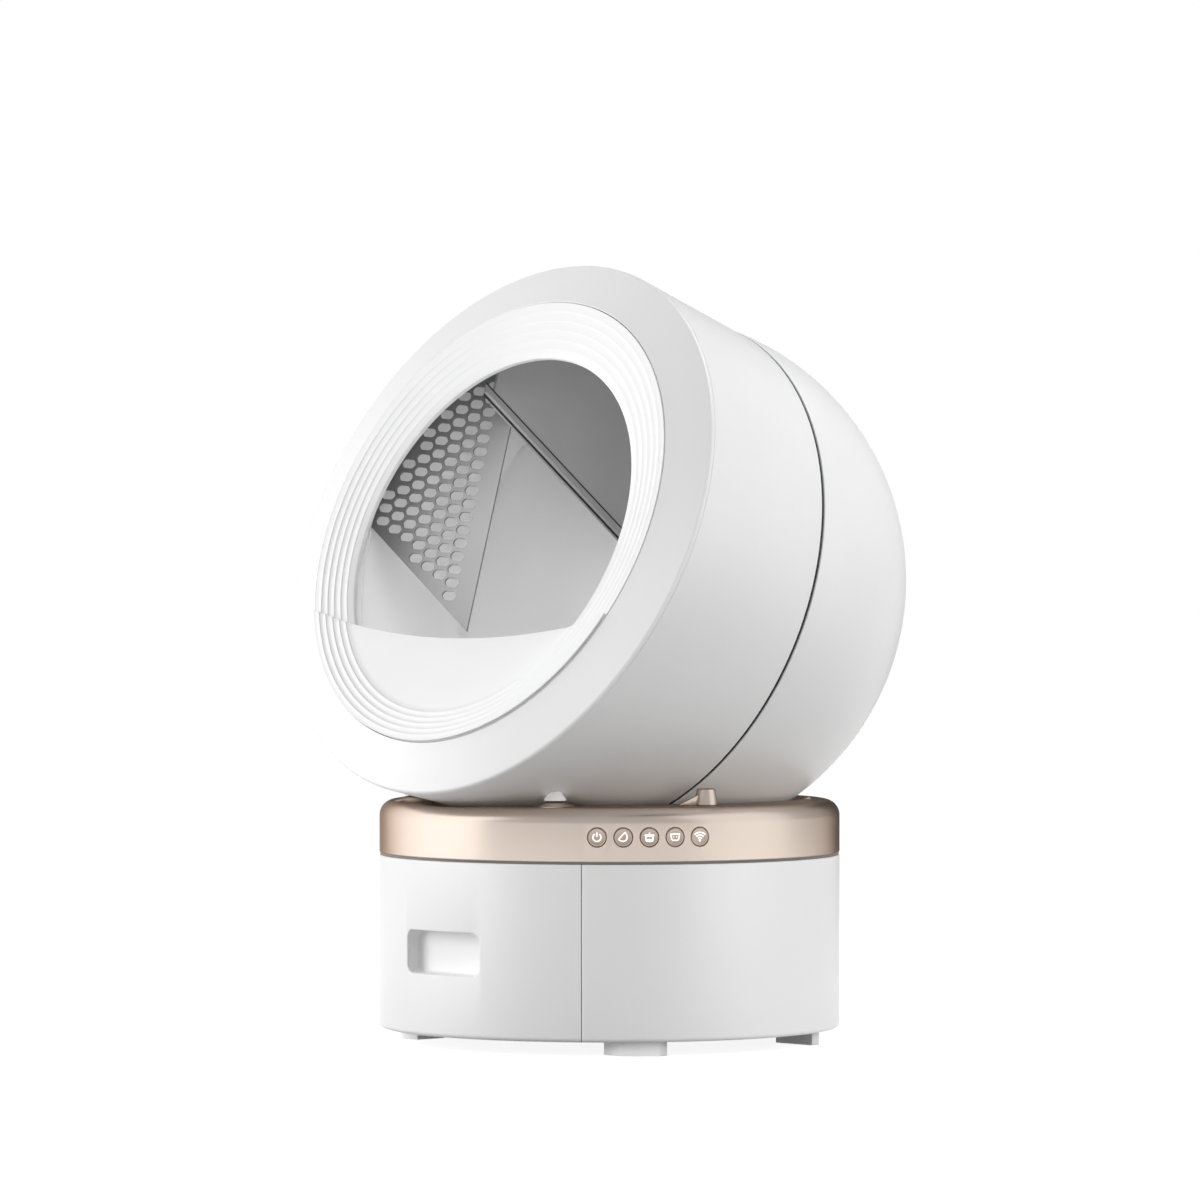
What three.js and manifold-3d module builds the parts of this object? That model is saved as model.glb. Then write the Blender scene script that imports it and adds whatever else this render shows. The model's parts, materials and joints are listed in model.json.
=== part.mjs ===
// Self cleaning litter box: a tilted drum turns in a fixed hood, on a round base with a drawer.
// Millimetres, +Z up, the entry faces -Y. Each frame has its own group: the base stands upright,
// the drum frame has Z along the drum's axis, and the face frame has Z square to the entry.
import * as THREE from "three";
import { mergeVertices } from "three/addons/utils/BufferGeometryUtils.js";
import Module from "manifold-3d";

const wasm = await Module();
wasm.setup();

// Facet counts
const roundSegments = 40;
const deckSegments = 24;
const smallSegments = 12;
const meridianStep = 12;
const filletSteps = 3;

// Angles in degrees
const drumTilt = 16.2;
const faceTilt = 22.8;
const pinionAngle = 20;
const portAngle = 135;
const rearRollerAngle = 33;
const frontRollerAngle = 28;
const footAzimuth = 54;
const drawerHalfAngle = 40;
const buttonFirstAngle = 43.7;
const buttonPitchAngle = 6.375;
const carrierMarginAngle = 4;
const guideTurn = 15;
const tongueEndAngle = 1;

// Walls and clearances
const seatGap = 0.3;
const shutterGap = 0.95;
const shellWall = 3.5;
const wall = 3;
const thinWall = 2.5;
const overrun = 20;

// Dome and hood: the base, the barrel, the rim and the ring follow from the dome's radius
const domeRadius = 240.8;
const domeEdge = 13.5;
const shutterWall = 2.4;
const portRadius = 55;
const shutterReach = 66;
const seamWidth = 3;
const seamStep = 0.5;
const seamRadius = domeRadius - seamStep;
const hoodFlare = 13.3;
const rimRadius = seamRadius + hoodFlare;
const rimRound = 3;
const faceReach = 194.8;
const capWidth = 42.4;
const capHeight = 18.8;
const capLipDepth = 6;
const ringRadius = rimRadius - capWidth;
const slopeWidth = 43.2;
const entryRadius = ringRadius - slopeWidth;
const entryDepth = 8.5;
const entryDrop = 8.1;
const entryEdge = 4.5;
const ribHeight = 0.9;
const ribCount = 5;
const ribTopShare = 0.35;
const ribMarginShare = 0.08;
const ribStepShare = 0.03;
const tabWidth = 30;
const tabLength = 16;
const tabInset = 3;
const tabHeight = 2.8;

// Barrel of the drum and the collar in front of it
const barrelInset = 18.5;
const barrelRadius = domeRadius - barrelInset;
const flangeInset = 6.3;
const barrelFlangeRadius = domeRadius - flangeInset;
const flangeWidth = 8.5;
const domeFlangeRadius = barrelFlangeRadius - flangeWidth;
const barrelFront = 142.5;
const barrelLipWidth = 7.3;
const barrelLipRadius = barrelRadius - barrelLipWidth;
const barrelLipSlope = 4;
const collarRadius = barrelLipRadius - wall;
const collarFront = 145;

// Base
const baseInset = 33.8;
const baseRadius = domeRadius - baseInset;
const footHeight = 13;
const bodyTop = 168;
const bodyFillet = 4;
const ringJoint = 2.5;
const ringBottom = bodyTop + ringJoint;
const ringHeight = 47;
const ringTop = ringBottom + ringHeight;
const ringFillet = 14;
const tongueDepth = 7;
const footWidth = 46;
const footDepth = 33;
const footChamfer = 24;
const footInset = 27;
const footReach = baseRadius - footInset;
const postInsetX = 57;
const postX = baseRadius - postInsetX;
const postInsetY = 92;
const postY = baseRadius - postInsetY;
const postRadius = 7;
const inletHeight = 60;
const inletRadius = 6;
const inletLength = 14;
const drumSink = 44.2;
const domeCentreZ = ringTop + domeRadius - drumSink;
const domeCentreY = 37.2;

// Litter guard
const guardProud = 3;
const guardMargin = 26.2;
const guardHalfWidth = ringRadius - guardMargin;
const guardEndDrop = 90;
const guardMiddleDrop = 111;
const guardCore = guardEndDrop;

// Ring gear and its drive
const gearRim = 8.1;
const gearTeeth = 72;
const gearModule = (2 * (barrelRadius + gearRim)) / gearTeeth;
const pinionTeeth = 8;
const toothHead = 2.6;
const toothRoot = 3.4;
const toothBacklash = 2;
const toothFlankAngle = 22;
const gearBack = 20;
const gearWidth = 11;
const shaftRadius = 5;
const gearboxBack = 4;
const gearboxFront = 17;
const gearboxSmallRadius = 11;
const motorReach = 60.4;
const motorDrop = 4.4;
const motorRadius = 18;
const motorLength = 34;
const cradleWidth = 24;
const cradleLength = 20;
const cradleY = 22;

// Deck, throat and supports
const deckClearance = 5;
const throatRadius = 70;
const windowMargin = 3;
const padX = 50;
const padY = 88;
const padWidth = 14;
const humpInsetX = 115;
const humpX = baseRadius - humpInsetX;
const humpInsetY = 55;
const humpY = baseRadius - humpInsetY;
const humpRadius = 18.5;
const humpHeight = 5;
const hoodFootTopRadius = 6;
const hoodFootRadius = 10;
const guidePostInset = 49;
const guidePostX = baseRadius - guidePostInset;
const guidePostY = 32;
const guidePostRadius = 9;
const guidePostTopRadius = 7.5;
const guidePostHeight = 14;
const webLength = 28;
const webWall = 3;

// Rollers
const rollerWidth = 12;
const rollerGap = 0.4;
const rollerPin = 2.5;
const pinGap = 0.3;
const yokeMargin = 1.5;
const yokeRise = 5;
const rearRollerRadius = 12;
const rearRollerBack = 130;
const frontRollerMargin = 0.25;
const frontRollerRadius = (seamRadius - shellWall - barrelRadius) / 2 - frontRollerMargin;
const frontRollerForward = 110;

// Drawer
const drawerGap = 0.6;
const tubInset = 83;
const tubHalfWidth = baseRadius - tubInset;
const tubRearInset = 57;
const tubRear = baseRadius - tubRearInset;
const tubBottom = 22;
const chassisDrop = 28;
const chassisBottom = bodyTop - chassisDrop;
const tubDrop = 6;
const tubTop = chassisBottom - tubDrop;
const bagRingHeight = 3.7;
const bagRingWidth = 9;
const chuteDrop = 0.7;
const chuteBottom = chassisBottom - chuteDrop;
const chuteRise = 4.5;
const chuteTop = ringBottom + chuteRise;
const chuteFlange = 8;
const handleWidth = 94;
const handleBottom = 68;
const handleTop = 106;
const handleDepth = 21;
const handleCorner = 8;
const railReach = tubRear;
const railFoot = 12;
const railHeight = 30;

// Buttons and electronics
const buttonNames = ["power", "scoop", "empty", "level", "link"];
const buttonRise = 21.5;
const buttonHeight = ringBottom + buttonRise;
const buttonRadius = 7.2;
const buttonHoleRadius = 7.7;
const buttonGrooveRadius = 9.25;
const buttonGrooveDepth = 1;
const buttonFlangeRadius = 9;
const buttonFlangeWall = 1.5;
const buttonStemRadius = 3;
const buttonTravel = 1;
const buttonSeat = 1.1;
const carrierRise = 11.5;
const carrierBottom = ringBottom + carrierRise;
const carrierInset = 14;
const carrierRadius = baseRadius - carrierInset;
const boardInsetX = 87;
const boardX = baseRadius - boardInsetX;
const boardInsetY = 97;
const boardY = baseRadius - boardInsetY;
const boardWidth = 60;
const boardLength = 44;
const boardWall = 1.6;
const boardLift = 5;
const chipHeight = 6;
const chipShare = 0.5;

// Inner wall
const dividerInset = 119.3;
const dividerX = barrelRadius - dividerInset;
const dividerFrontLevel = 127.7;
const dividerRearLevel = 40.5;
const dividerFrontReach = 130;
const dividerRearReach = 89;
const dividerLip = 12.5;
const sieveStart = 100;
const sieveEndInset = 8.3;
const sieveEndX = barrelRadius - sieveEndInset;
const sieveEndReach = 142;
const sieveEndLevel = 8.5;
const sieveFoot = 77;
const sieveTop = 84;
const sieveHoleHalfWidth = 6.8;
const sieveHoleHalfHeight = 5;
const sieveHoleInset = 9.5;
const sieveHoleLevel = 15.8;
const sievePitchX = 16.4;
const sievePitchY = 11.6;
const sieveMargin = 12;
const innerWallGap = 0.6;

// Frames
const degrees = Math.PI / 180;

function tiltedFrame(tilt, y, z) {
  return new THREE.Matrix4().makeRotationX(Math.PI / 2 - tilt * degrees).setPosition(0, y, z);
}

const upright = new THREE.Matrix4();
const drumFrame = tiltedFrame(drumTilt, domeCentreY, domeCentreZ);
const ringCentreY = domeCentreY - faceReach * Math.cos(drumTilt * degrees);
const ringCentreZ = domeCentreZ + faceReach * Math.sin(drumTilt * degrees);
const faceFrame = tiltedFrame(faceTilt, ringCentreY, ringCentreZ);
const faceInDrum = drumFrame.clone().invert().multiply(faceFrame);
const drumInFace = faceFrame.clone().invert().multiply(drumFrame);

// Materials
function material(color, roughness, metalness = 0) {
  return new THREE.MeshStandardMaterial({ color, roughness, metalness });
}

const whitePlastic = () => material(0xf2f2f1, 0.42);
const champagne = () => material(0xc3ab98, 0.36, 0.75);
const paleLiner = () => material(0xd2d3d4, 0.5);
const darkPanel = () => material(0x73767a, 0.5);
const greyRubber = () => material(0x4a4c4e, 0.85);
const blackPlastic = () => material(0x2a2b2d, 0.6);
const steel = () => material(0xb4b7ba, 0.3, 0.9);
const greenBoard = () => material(0x2c5c3e, 0.55);
const acetal = () => material(0xe0ddd2, 0.45);

// Turns any geometry into one closed, outward, welded geometry with positions only.
function welded(geometry) {
  const bare = geometry.clone();
  bare.deleteAttribute("normal");
  bare.deleteAttribute("uv");
  const merged = mergeVertices(bare);
  const position = merged.getAttribute("position");
  const kept = [];
  let volume = 0;
  const a = new THREE.Vector3();
  const b = new THREE.Vector3();
  const c = new THREE.Vector3();
  for (let i = 0; i < merged.index.count; i += 3) {
    const corner = [0, 1, 2].map((k) => merged.index.getX(i + k));
    if (new Set(corner).size === 3) {
      kept.push(...corner);
      a.fromBufferAttribute(position, corner[0]);
      b.fromBufferAttribute(position, corner[1]);
      c.fromBufferAttribute(position, corner[2]);
      volume += a.dot(b.cross(c));
    }
  }
  merged.setIndex(volume < 0 ? kept.reverse() : kept);
  return merged;
}

function solid(geometry, frame = upright) {
  const closed = welded(geometry).applyMatrix4(frame);
  const vertProperties = new Float32Array(closed.getAttribute("position").array);
  const triVerts = new Uint32Array(closed.index.array);
  return new wasm.Manifold(new wasm.Mesh({ numProp: 3, vertProperties, triVerts }));
}

function surface(body) {
  const mesh = body.getMesh();
  const geometry = new THREE.BufferGeometry();
  geometry.setAttribute("position", new THREE.BufferAttribute(mesh.vertProperties, 3));
  geometry.setIndex(new THREE.BufferAttribute(mesh.triVerts, 1));
  return geometry;
}

function piece(name, shape, finish) {
  const geometry = shape.isBufferGeometry ? welded(shape) : surface(shape);
  geometry.computeVertexNormals();
  const mesh = new THREE.Mesh(geometry, finish);
  mesh.name = name;
  return mesh;
}

// A profile of [radius, height] pairs turned about Z.
function turned(profile, segments = roundSegments) {
  const points = profile.map(([radius, height]) => new THREE.Vector2(radius, height));
  return new THREE.LatheGeometry(points, segments).rotateX(Math.PI / 2);
}

function ringProfile(inner, outer, bottom, top) {
  return [[outer, bottom], [outer, top], [inner, top], [inner, bottom], [outer, bottom]];
}

function rod(radius, bottom, top, segments = smallSegments) {
  return turned([[0, bottom], [radius, bottom], [radius, top], [0, top]], segments);
}

function block(size, centre) {
  return new THREE.BoxGeometry(...size).translate(...centre);
}

function prism(outline, bottom, top) {
  const shape = Array.isArray(outline) ? new THREE.Shape(outline) : outline;
  const options = { depth: top - bottom, bevelEnabled: false, curveSegments: filletSteps };
  return new THREE.ExtrudeGeometry(shape, options).translate(0, 0, bottom);
}

function corner(x, y) {
  return new THREE.Vector2(x, y);
}

function arc(radius, centreR, centreZ, from, to, steps) {
  return Array.from({ length: steps + 1 }, (_, i) => {
    const angle = (from + ((to - from) * i) / steps) * degrees;
    return [centreR + radius * Math.cos(angle), centreZ + radius * Math.sin(angle)];
  });
}

// Points of a sphere's meridian from its rear pole up to the given height, all at shared angles.
function meridian(radius, edge) {
  const last = Math.asin(edge / radius) / degrees;
  const points = [[0, -radius]];
  for (let angle = meridianStep - 90; angle < last - meridianStep / 4; angle += meridianStep) {
    points.push([radius * Math.cos(angle * degrees), radius * Math.sin(angle * degrees)]);
  }
  points.push([radius * Math.cos(last * degrees), edge]);
  return points;
}

// A circle of a loft: square to Z of its frame, off the axis by up, and along Z by a
// number or by a function of the angle.
function circle(frame, radius, along, up = 0) {
  return { frame, radius, along, up };
}

function circlePoint(ring, angle) {
  const along = typeof ring.along === "function" ? ring.along(angle) : ring.along;
  const x = ring.radius * Math.cos(angle);
  const y = ring.up + ring.radius * Math.sin(angle);
  return new THREE.Vector3(x, y, along).applyMatrix4(ring.frame);
}

function skin(rings, closed, segments) {
  const positions = [];
  const index = [];
  const at = (i, j) => (i % rings.length) * segments + (j % segments);
  for (const ring of rings) {
    for (let j = 0; j < segments; j += 1) {
      positions.push(...circlePoint(ring, (2 * Math.PI * j) / segments).toArray());
    }
  }
  const bands = closed ? rings.length : rings.length - 1;
  for (let i = 0; i < bands; i += 1) {
    for (let j = 0; j < segments; j += 1) {
      index.push(at(i, j), at(i, j + 1), at(i + 1, j + 1));
      index.push(at(i, j), at(i + 1, j + 1), at(i + 1, j));
    }
  }
  return { positions, index, at };
}

function geometryOf({ positions, index }) {
  const geometry = new THREE.BufferGeometry();
  geometry.setAttribute("position", new THREE.Float32BufferAttribute(positions, 3));
  geometry.setIndex(index);
  return geometry;
}

// A loft whose last circle joins its first: a band with a wall.
function loftBand(rings) {
  return geometryOf(skin(rings, true, roundSegments));
}

// A loft closed at both ends by flat discs.
function loftSolid(rings, segments = roundSegments) {
  const { positions, index, at } = skin(rings, false, segments);
  const first = positions.length / 3;
  const last = first + 1;
  for (const ring of [rings[0], rings[rings.length - 1]]) {
    positions.push(...new THREE.Vector3(0, ring.up, ring.along).applyMatrix4(ring.frame).toArray());
  }
  for (let j = 0; j < segments; j += 1) {
    index.push(first, at(0, j + 1), at(0, j));
    index.push(last, at(rings.length - 1, j), at(rings.length - 1, j + 1));
  }
  return geometryOf({ positions, index });
}

// Hood and drum envelopes
const hoodStart = domeEdge + seamWidth;

function hoodBody(growth, drum, face, segments = roundSegments) {
  const rear = circle(drum, seamRadius + growth, hoodStart);
  const front = circle(face, rimRadius + growth, -capHeight);
  return loftSolid([rear, front], segments);
}

function envelope(growth, segments = roundSegments) {
  const radius = domeRadius + growth;
  const top = domeCentreZ - radius * Math.sin(drumTilt * degrees);
  const profile = meridian(radius, top - domeCentreZ).map(([r, z]) => [r, z]);
  profile.push([0, top - domeCentreZ]);
  const ball = turned(profile, segments).translate(0, domeCentreY, domeCentreZ);
  return solid(ball).add(solid(hoodBody(growth, drumFrame, faceFrame, segments)));
}

// Radial directions in the drum frame: angle is measured from straight down towards +X.
function around(angle, radius, height) {
  const turn = angle * degrees;
  return new THREE.Vector3(radius * Math.sin(turn), -radius * Math.cos(turn), height);
}

// Frame at a place with Z along the given direction and X as near as can be to the given axis.
function frameAlong(place, direction, axis) {
  const z = direction.clone().normalize();
  const y = z.clone().cross(axis).normalize();
  const x = y.clone().cross(z);
  return new THREE.Matrix4().makeBasis(x, y, z).setPosition(place);
}

// Hood
function frontHood() {
  const band = loftBand([
    circle(upright, seamRadius, hoodStart),
    circle(faceInDrum, rimRadius, -capHeight),
    circle(faceInDrum, rimRadius - shellWall, -capHeight),
    circle(upright, seamRadius - shellWall, hoodStart),
  ]);
  return solid(band).subtract(pinionWindow(upright));
}

function rimCap() {
  const back = seatGap - capHeight;
  return loftBand([
    circle(upright, rimRadius, back),
    circle(upright, rimRadius - rimRound / 4, back + rimRound / 2),
    circle(upright, rimRadius - rimRound, back + rimRound),
    circle(upright, ringRadius + seatGap, -seatGap),
    circle(upright, ringRadius + seatGap, -capLipDepth - wall),
    circle(upright, ringRadius + wall, -capLipDepth - wall),
    circle(upright, ringRadius + wall, -wall - seatGap),
    circle(upright, rimRadius - shellWall, back),
  ]);
}

// Front surface of the ring or the guard: share 0 is its outer edge and share 1 the entry.
function slopeCircle(share, lift, rib) {
  const radius = THREE.MathUtils.lerp(ringRadius - seatGap, entryRadius, share);
  const fade = (angle) => THREE.MathUtils.lerp(1, ribTopShare, Math.max(0, Math.sin(angle)));
  const along = (angle) => lift - entryDepth * share + rib * fade(angle);
  return circle(upright, radius, along, -entryDrop * share);
}

function ribbedSlope(lift) {
  const rings = [slopeCircle(0, lift, 0)];
  for (let i = 0; i < ribCount; i += 1) {
    const share = ribMarginShare + ((i + 0.5) / ribCount) * (1 - 2 * ribMarginShare);
    rings.push(slopeCircle(share, lift, ribHeight));
    rings.push(slopeCircle(share + ribStepShare, lift, 0));
  }
  rings.push(slopeCircle(1, lift, 0));
  return rings;
}

function entryRing() {
  const edge = entryRadius + entryEdge;
  return loftBand([
    ...ribbedSlope(0),
    circle(upright, entryRadius, -entryDepth - entryEdge, -entryDrop),
    circle(drumInFace, collarRadius, collarFront),
    circle(drumInFace, collarRadius + wall, collarFront + wall),
    circle(upright, edge, -entryDepth - entryEdge / 2, -entryDrop),
    circle(upright, ringRadius - seatGap - wall, -wall),
    circle(upright, ringRadius - seatGap - wall, -capLipDepth),
    circle(upright, ringRadius - seatGap, -capLipDepth),
  ]);
}

function guardOutline() {
  const sag = guardMiddleDrop - guardEndDrop;
  const radius = (guardHalfWidth ** 2 + sag ** 2) / (2 * sag);
  const reach = ringRadius + overrun;
  const half = Math.asin(reach / radius);
  const shape = new THREE.Shape();
  shape.absarc(0, radius - guardMiddleDrop, radius, -Math.PI / 2 - half, half - Math.PI / 2, false);
  shape.lineTo(reach, -reach);
  shape.lineTo(-reach, -reach);
  return shape;
}

function entryGuard() {
  const back = ribHeight + seatGap;
  const disc = loftSolid([
    circle(upright, guardCore, guardProud - entryDepth, -entryDrop),
    ...ribbedSlope(guardProud).reverse(),
    slopeCircle(0, back, 0),
    slopeCircle(1, back, 0),
    circle(upright, guardCore, back - entryDepth, -entryDrop),
  ]);
  return solid(disc).intersect(solid(prism(guardOutline(), -overrun, overrun)));
}

function topTab() {
  const skinOf = (growth) => solid(hoodBody(growth, drumInFace, upright));
  const middle = -capHeight - tabInset - tabLength / 2;
  const cutter = block([tabWidth, overrun, tabLength], [0, rimRadius, middle]);
  return skinOf(tabHeight).subtract(skinOf(seatGap)).intersect(solid(cutter));
}

// Drum
function portAxis() {
  const side = Math.cos(drumTilt * degrees);
  return around(-portAngle, side, -Math.sin(drumTilt * degrees));
}

function portFrame(radius) {
  const axis = portAxis();
  return frameAlong(axis.clone().multiplyScalar(radius), axis, new THREE.Vector3(0, 0, 1));
}

function shellProfile(outer, inner, edge) {
  return [...meridian(outer, edge), ...meridian(inner, edge).reverse()];
}

function portHole() {
  return solid(rod(portRadius, -overrun, overrun, roundSegments / 2), portFrame(domeRadius));
}

function rearDome() {
  const inner = domeRadius - shellWall;
  const flange = domeEdge - wall;
  const profile = [
    ...meridian(domeRadius, domeEdge),
    [domeFlangeRadius, domeEdge],
    [domeFlangeRadius, flange],
    ...meridian(inner, flange).reverse(),
  ];
  return solid(turned(profile)).subtract(portHole());
}

const shutterOuter = domeRadius - shellWall - shutterGap;
const linerOuter = shutterOuter - shutterWall - shutterGap;
const linerInner = linerOuter - thinWall;
const linerEdge = domeEdge - wall - seatGap;

function domeLiner() {
  return solid(turned(shellProfile(linerOuter, linerInner, linerEdge))).subtract(portHole());
}

function portShutter() {
  const shell = solid(turned(shellProfile(shutterOuter, shutterOuter - shutterWall, linerEdge)));
  const side = 2 * shutterReach;
  return shell.intersect(solid(block([side, side, 2 * overrun], [0, 0, 0]), portFrame(shutterOuter)));
}

const barrelBack = domeEdge + seatGap;
const barrelInner = barrelRadius - wall;

function drumBarrel() {
  return turned([
    [barrelFlangeRadius, barrelBack],
    [barrelFlangeRadius, barrelBack + wall],
    [barrelRadius, barrelBack + wall],
    [barrelRadius, barrelFront],
    [barrelLipRadius, barrelFront],
    [barrelLipRadius, barrelFront - wall],
    [barrelInner, barrelFront - wall - barrelLipSlope],
    [barrelInner, barrelBack],
    [barrelFlangeRadius, barrelBack],
  ]);
}

// Gears: straight flanked teeth on a pitch circle, the first tooth centred on -Y.
const gearPitchRadius = (gearModule * gearTeeth) / 2;
const pinionPitchRadius = (gearModule * pinionTeeth) / 2;
const gearCentres = gearPitchRadius + pinionPitchRadius;
const pinionPlace = around(-pinionAngle, gearCentres, 0);
const motorPlace = pinionPlace.clone().add(new THREE.Vector3(-motorReach, -motorDrop, 0));

function toothOutline(teeth, pitchRadius, head, root) {
  const half = (Math.PI * gearModule) / 4 - toothBacklash / 4;
  const slope = Math.tan(toothFlankAngle * degrees);
  const points = [];
  for (let i = 0; i < teeth; i += 1) {
    const middle = (2 * Math.PI * i) / teeth - Math.PI / 2;
    const flank = (height, side) => {
      const radius = pitchRadius + height;
      const turn = middle + (side * (half - height * slope)) / radius;
      points.push(corner(radius * Math.cos(turn), radius * Math.sin(turn)));
    };
    flank(-root, -1);
    flank(head, -1);
    flank(head, 1);
    flank(-root, 1);
  }
  return new THREE.Shape(points);
}

function ringGear() {
  const shape = toothOutline(gearTeeth, gearPitchRadius, toothHead, toothRoot);
  const bore = new THREE.Path();
  bore.absarc(0, 0, barrelRadius + seatGap, 0, 2 * Math.PI, true);
  shape.holes.push(bore);
  const options = { depth: gearWidth, bevelEnabled: false, curveSegments: roundSegments };
  return new THREE.ExtrudeGeometry(shape, options).translate(0, 0, gearBack);
}

function drivePinion() {
  const wheel = prism(toothOutline(pinionTeeth, pinionPitchRadius, toothHead, toothRoot), gearBack,
    gearBack + gearWidth);
  const shaft = rod(shaftRadius, gearboxBack + wall, gearBack + wall);
  return solid(wheel).add(solid(shaft));
}

function pinionWindow(frame) {
  const half = pinionPitchRadius + toothHead + windowMargin;
  const back = gearboxBack - windowMargin;
  const front = gearBack + gearWidth + windowMargin;
  const size = [2 * half, 2 * half, front - back];
  const box = block(size, [0, 0, (front + back) / 2]).rotateZ(-pinionAngle * degrees);
  return solid(box.translate(pinionPlace.x, pinionPlace.y, 0), frame);
}

function gearbox() {
  const span = motorPlace.clone().sub(pinionPlace);
  const end = (radius, place) => {
    const cheek = rod(radius, gearboxBack, gearboxFront);
    return solid(cheek.translate(place.x, place.y, 0));
  };
  const bar = block([span.length(), 2 * gearboxSmallRadius, gearboxFront - gearboxBack],
    [span.length() / 2, 0, (gearboxFront + gearboxBack) / 2]);
  bar.rotateZ(Math.atan2(span.y, span.x)).translate(pinionPlace.x, pinionPlace.y, 0);
  const bore = rod(shaftRadius + pinGap, gearboxBack + wall - seatGap, gearboxFront + overrun);
  return end(motorRadius, motorPlace)
    .add(end(gearboxSmallRadius, pinionPlace))
    .add(solid(bar))
    .subtract(solid(bore.translate(pinionPlace.x, pinionPlace.y, 0)));
}

function motorBody(growth) {
  const front = gearboxBack - seatGap + growth;
  const body = rod(motorRadius + growth, front - motorLength - 2 * growth, front);
  return body.translate(motorPlace.x, motorPlace.y, 0);
}

// Sieve and divider
function innerSpace() {
  const edge = domeEdge - wall - innerWallGap;
  const ball = turned([...meridian(linerInner - innerWallGap, edge), [0, edge]]);
  const lipBack = barrelFront - wall - barrelLipSlope;
  const tube = rod(barrelInner - innerWallGap, barrelBack - overrun, lipBack, roundSegments);
  const mouth = rod(barrelLipRadius - innerWallGap, lipBack - overrun, barrelFront, roundSegments);
  return solid(ball).add(solid(tube)).add(solid(mouth));
}

function dividerPanel() {
  const rear = corner(-dividerRearReach, dividerRearLevel);
  const front = corner(dividerFrontReach, dividerFrontLevel);
  const top = corner(dividerFrontReach, barrelRadius);
  const back = corner(-domeRadius, barrelRadius);
  const low = corner(-domeRadius, dividerRearLevel);
  const lift = corner(0, dividerLip);
  const sideways = (shape) => shape.rotateY(-Math.PI / 2).translate(-dividerX, 0, 0);
  const plate = sideways(prism([low, rear, front, top, back], -wall, 0));
  const ridge = sideways(prism([rear, front, front.clone().add(lift), rear.clone().add(lift)],
    -wall - thinWall, 0));
  return solid(plate).add(solid(ridge)).intersect(innerSpace());
}

function sieveFrame() {
  const start = new THREE.Vector3(-dividerX - seatGap, 0, sieveStart);
  const run = new THREE.Vector3(-sieveEndX, 0, sieveEndReach).sub(start).normalize();
  const up = new THREE.Vector3(0, 1, 0);
  return new THREE.Matrix4().makeBasis(run, up, run.clone().cross(up)).setPosition(start);
}

function sieveHole(x, y) {
  const path = new THREE.Path();
  for (let i = 0; i < 6; i += 1) {
    const turn = (i * Math.PI) / 3;
    const at = [x + sieveHoleHalfWidth * Math.cos(turn), y + sieveHoleHalfHeight * Math.sin(turn)];
    if (i === 0) {
      path.moveTo(...at);
    } else {
      path.lineTo(...at);
    }
  }
  path.closePath();
  return path;
}

function sieveHoles(run) {
  const slope = (sieveEndLevel + sieveFoot) / run;
  const holes = [];
  for (let x = run - sieveHoleInset, i = 0; x > sieveMargin; x -= sievePitchX, i += 1) {
    const edge = slope * x - sieveFoot + sieveMargin;
    const top = Math.sqrt(Math.max(0, (barrelInner - sieveMargin) ** 2 - (dividerX + x) ** 2));
    let y = sieveHoleLevel + (i % 2) * (sievePitchY / 2);
    while (y - sievePitchY > edge) {
      y -= sievePitchY;
    }
    for (; y < Math.min(sieveTop, top); y += sievePitchY) {
      holes.push(sieveHole(x, y));
    }
  }
  return holes;
}

function sievePlate() {
  const run = Math.hypot(sieveEndX - dividerX, sieveEndReach - sieveStart);
  const shape = new THREE.Shape([
    corner(0, -sieveFoot),
    corner(run, sieveEndLevel),
    corner(run, barrelRadius),
    corner(0, barrelRadius),
  ]);
  shape.holes = sieveHoles(run);
  return solid(prism(shape, 0, thinWall), sieveFrame()).intersect(innerSpace());
}

// Rollers. Each has its own frame: X along its axle, Z away from the drum, origin on the axle.
function rearRollerFrame(side) {
  const ring = Math.sqrt(domeRadius ** 2 - rearRollerBack ** 2);
  const out = around(side * rearRollerAngle, ring, -rearRollerBack).normalize();
  const place = out.clone().multiplyScalar(domeRadius + rollerGap + rearRollerRadius);
  return frameAlong(place, out, new THREE.Vector3(0, 0, 1));
}

function frontRollerFrame(side) {
  const radius = barrelRadius + rollerGap + frontRollerRadius;
  const place = around(side * frontRollerAngle, radius, frontRollerForward);
  return frameAlong(place, around(side * frontRollerAngle, radius, 0), new THREE.Vector3(0, 0, 1));
}

function rollerWheel(radius) {
  const half = rollerWidth / 2;
  const bore = rollerPin + pinGap;
  const profile = [
    [bore, -half],
    [radius - pinGap, -half],
    [radius, -half + half / 3],
    [radius, half - half / 3],
    [radius - pinGap, half],
    [bore, half],
    [bore, -half],
  ];
  return turned(profile, smallSegments).rotateY(Math.PI / 2);
}

const yokeInside = rollerWidth + 2 * rollerGap;
const yokeOutside = yokeInside + 2 * thinWall;

function rollerAxle() {
  const half = yokeOutside / 2;
  return rod(rollerPin, -half, half, smallSegments / 2).rotateY(Math.PI / 2);
}

function yokeLength(radius) {
  return 2 * (radius + yokeMargin);
}

function yoke(radius, depth) {
  const length = yokeLength(radius);
  const floor = radius + rollerGap;
  const high = floor + depth;
  const outer = solid(block([yokeOutside, length, high + yokeRise], [0, 0, (high - yokeRise) / 2]));
  const hollow = [0, 0, (floor - yokeRise - overrun) / 2];
  const inner = solid(block([yokeInside, length + overrun, floor + yokeRise + overrun], hollow));
  const bore = rod(rollerPin + pinGap, -yokeOutside, yokeOutside, smallSegments / 2);
  return outer.subtract(inner).subtract(solid(bore.rotateY(Math.PI / 2)));
}

function frontYoke(side) {
  const frame = frontRollerFrame(side);
  const inside = solid(hoodBody(-shellWall - seatGap, upright, faceInDrum), frame.clone().invert());
  return yoke(frontRollerRadius, overrun).intersect(inside);
}

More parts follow.
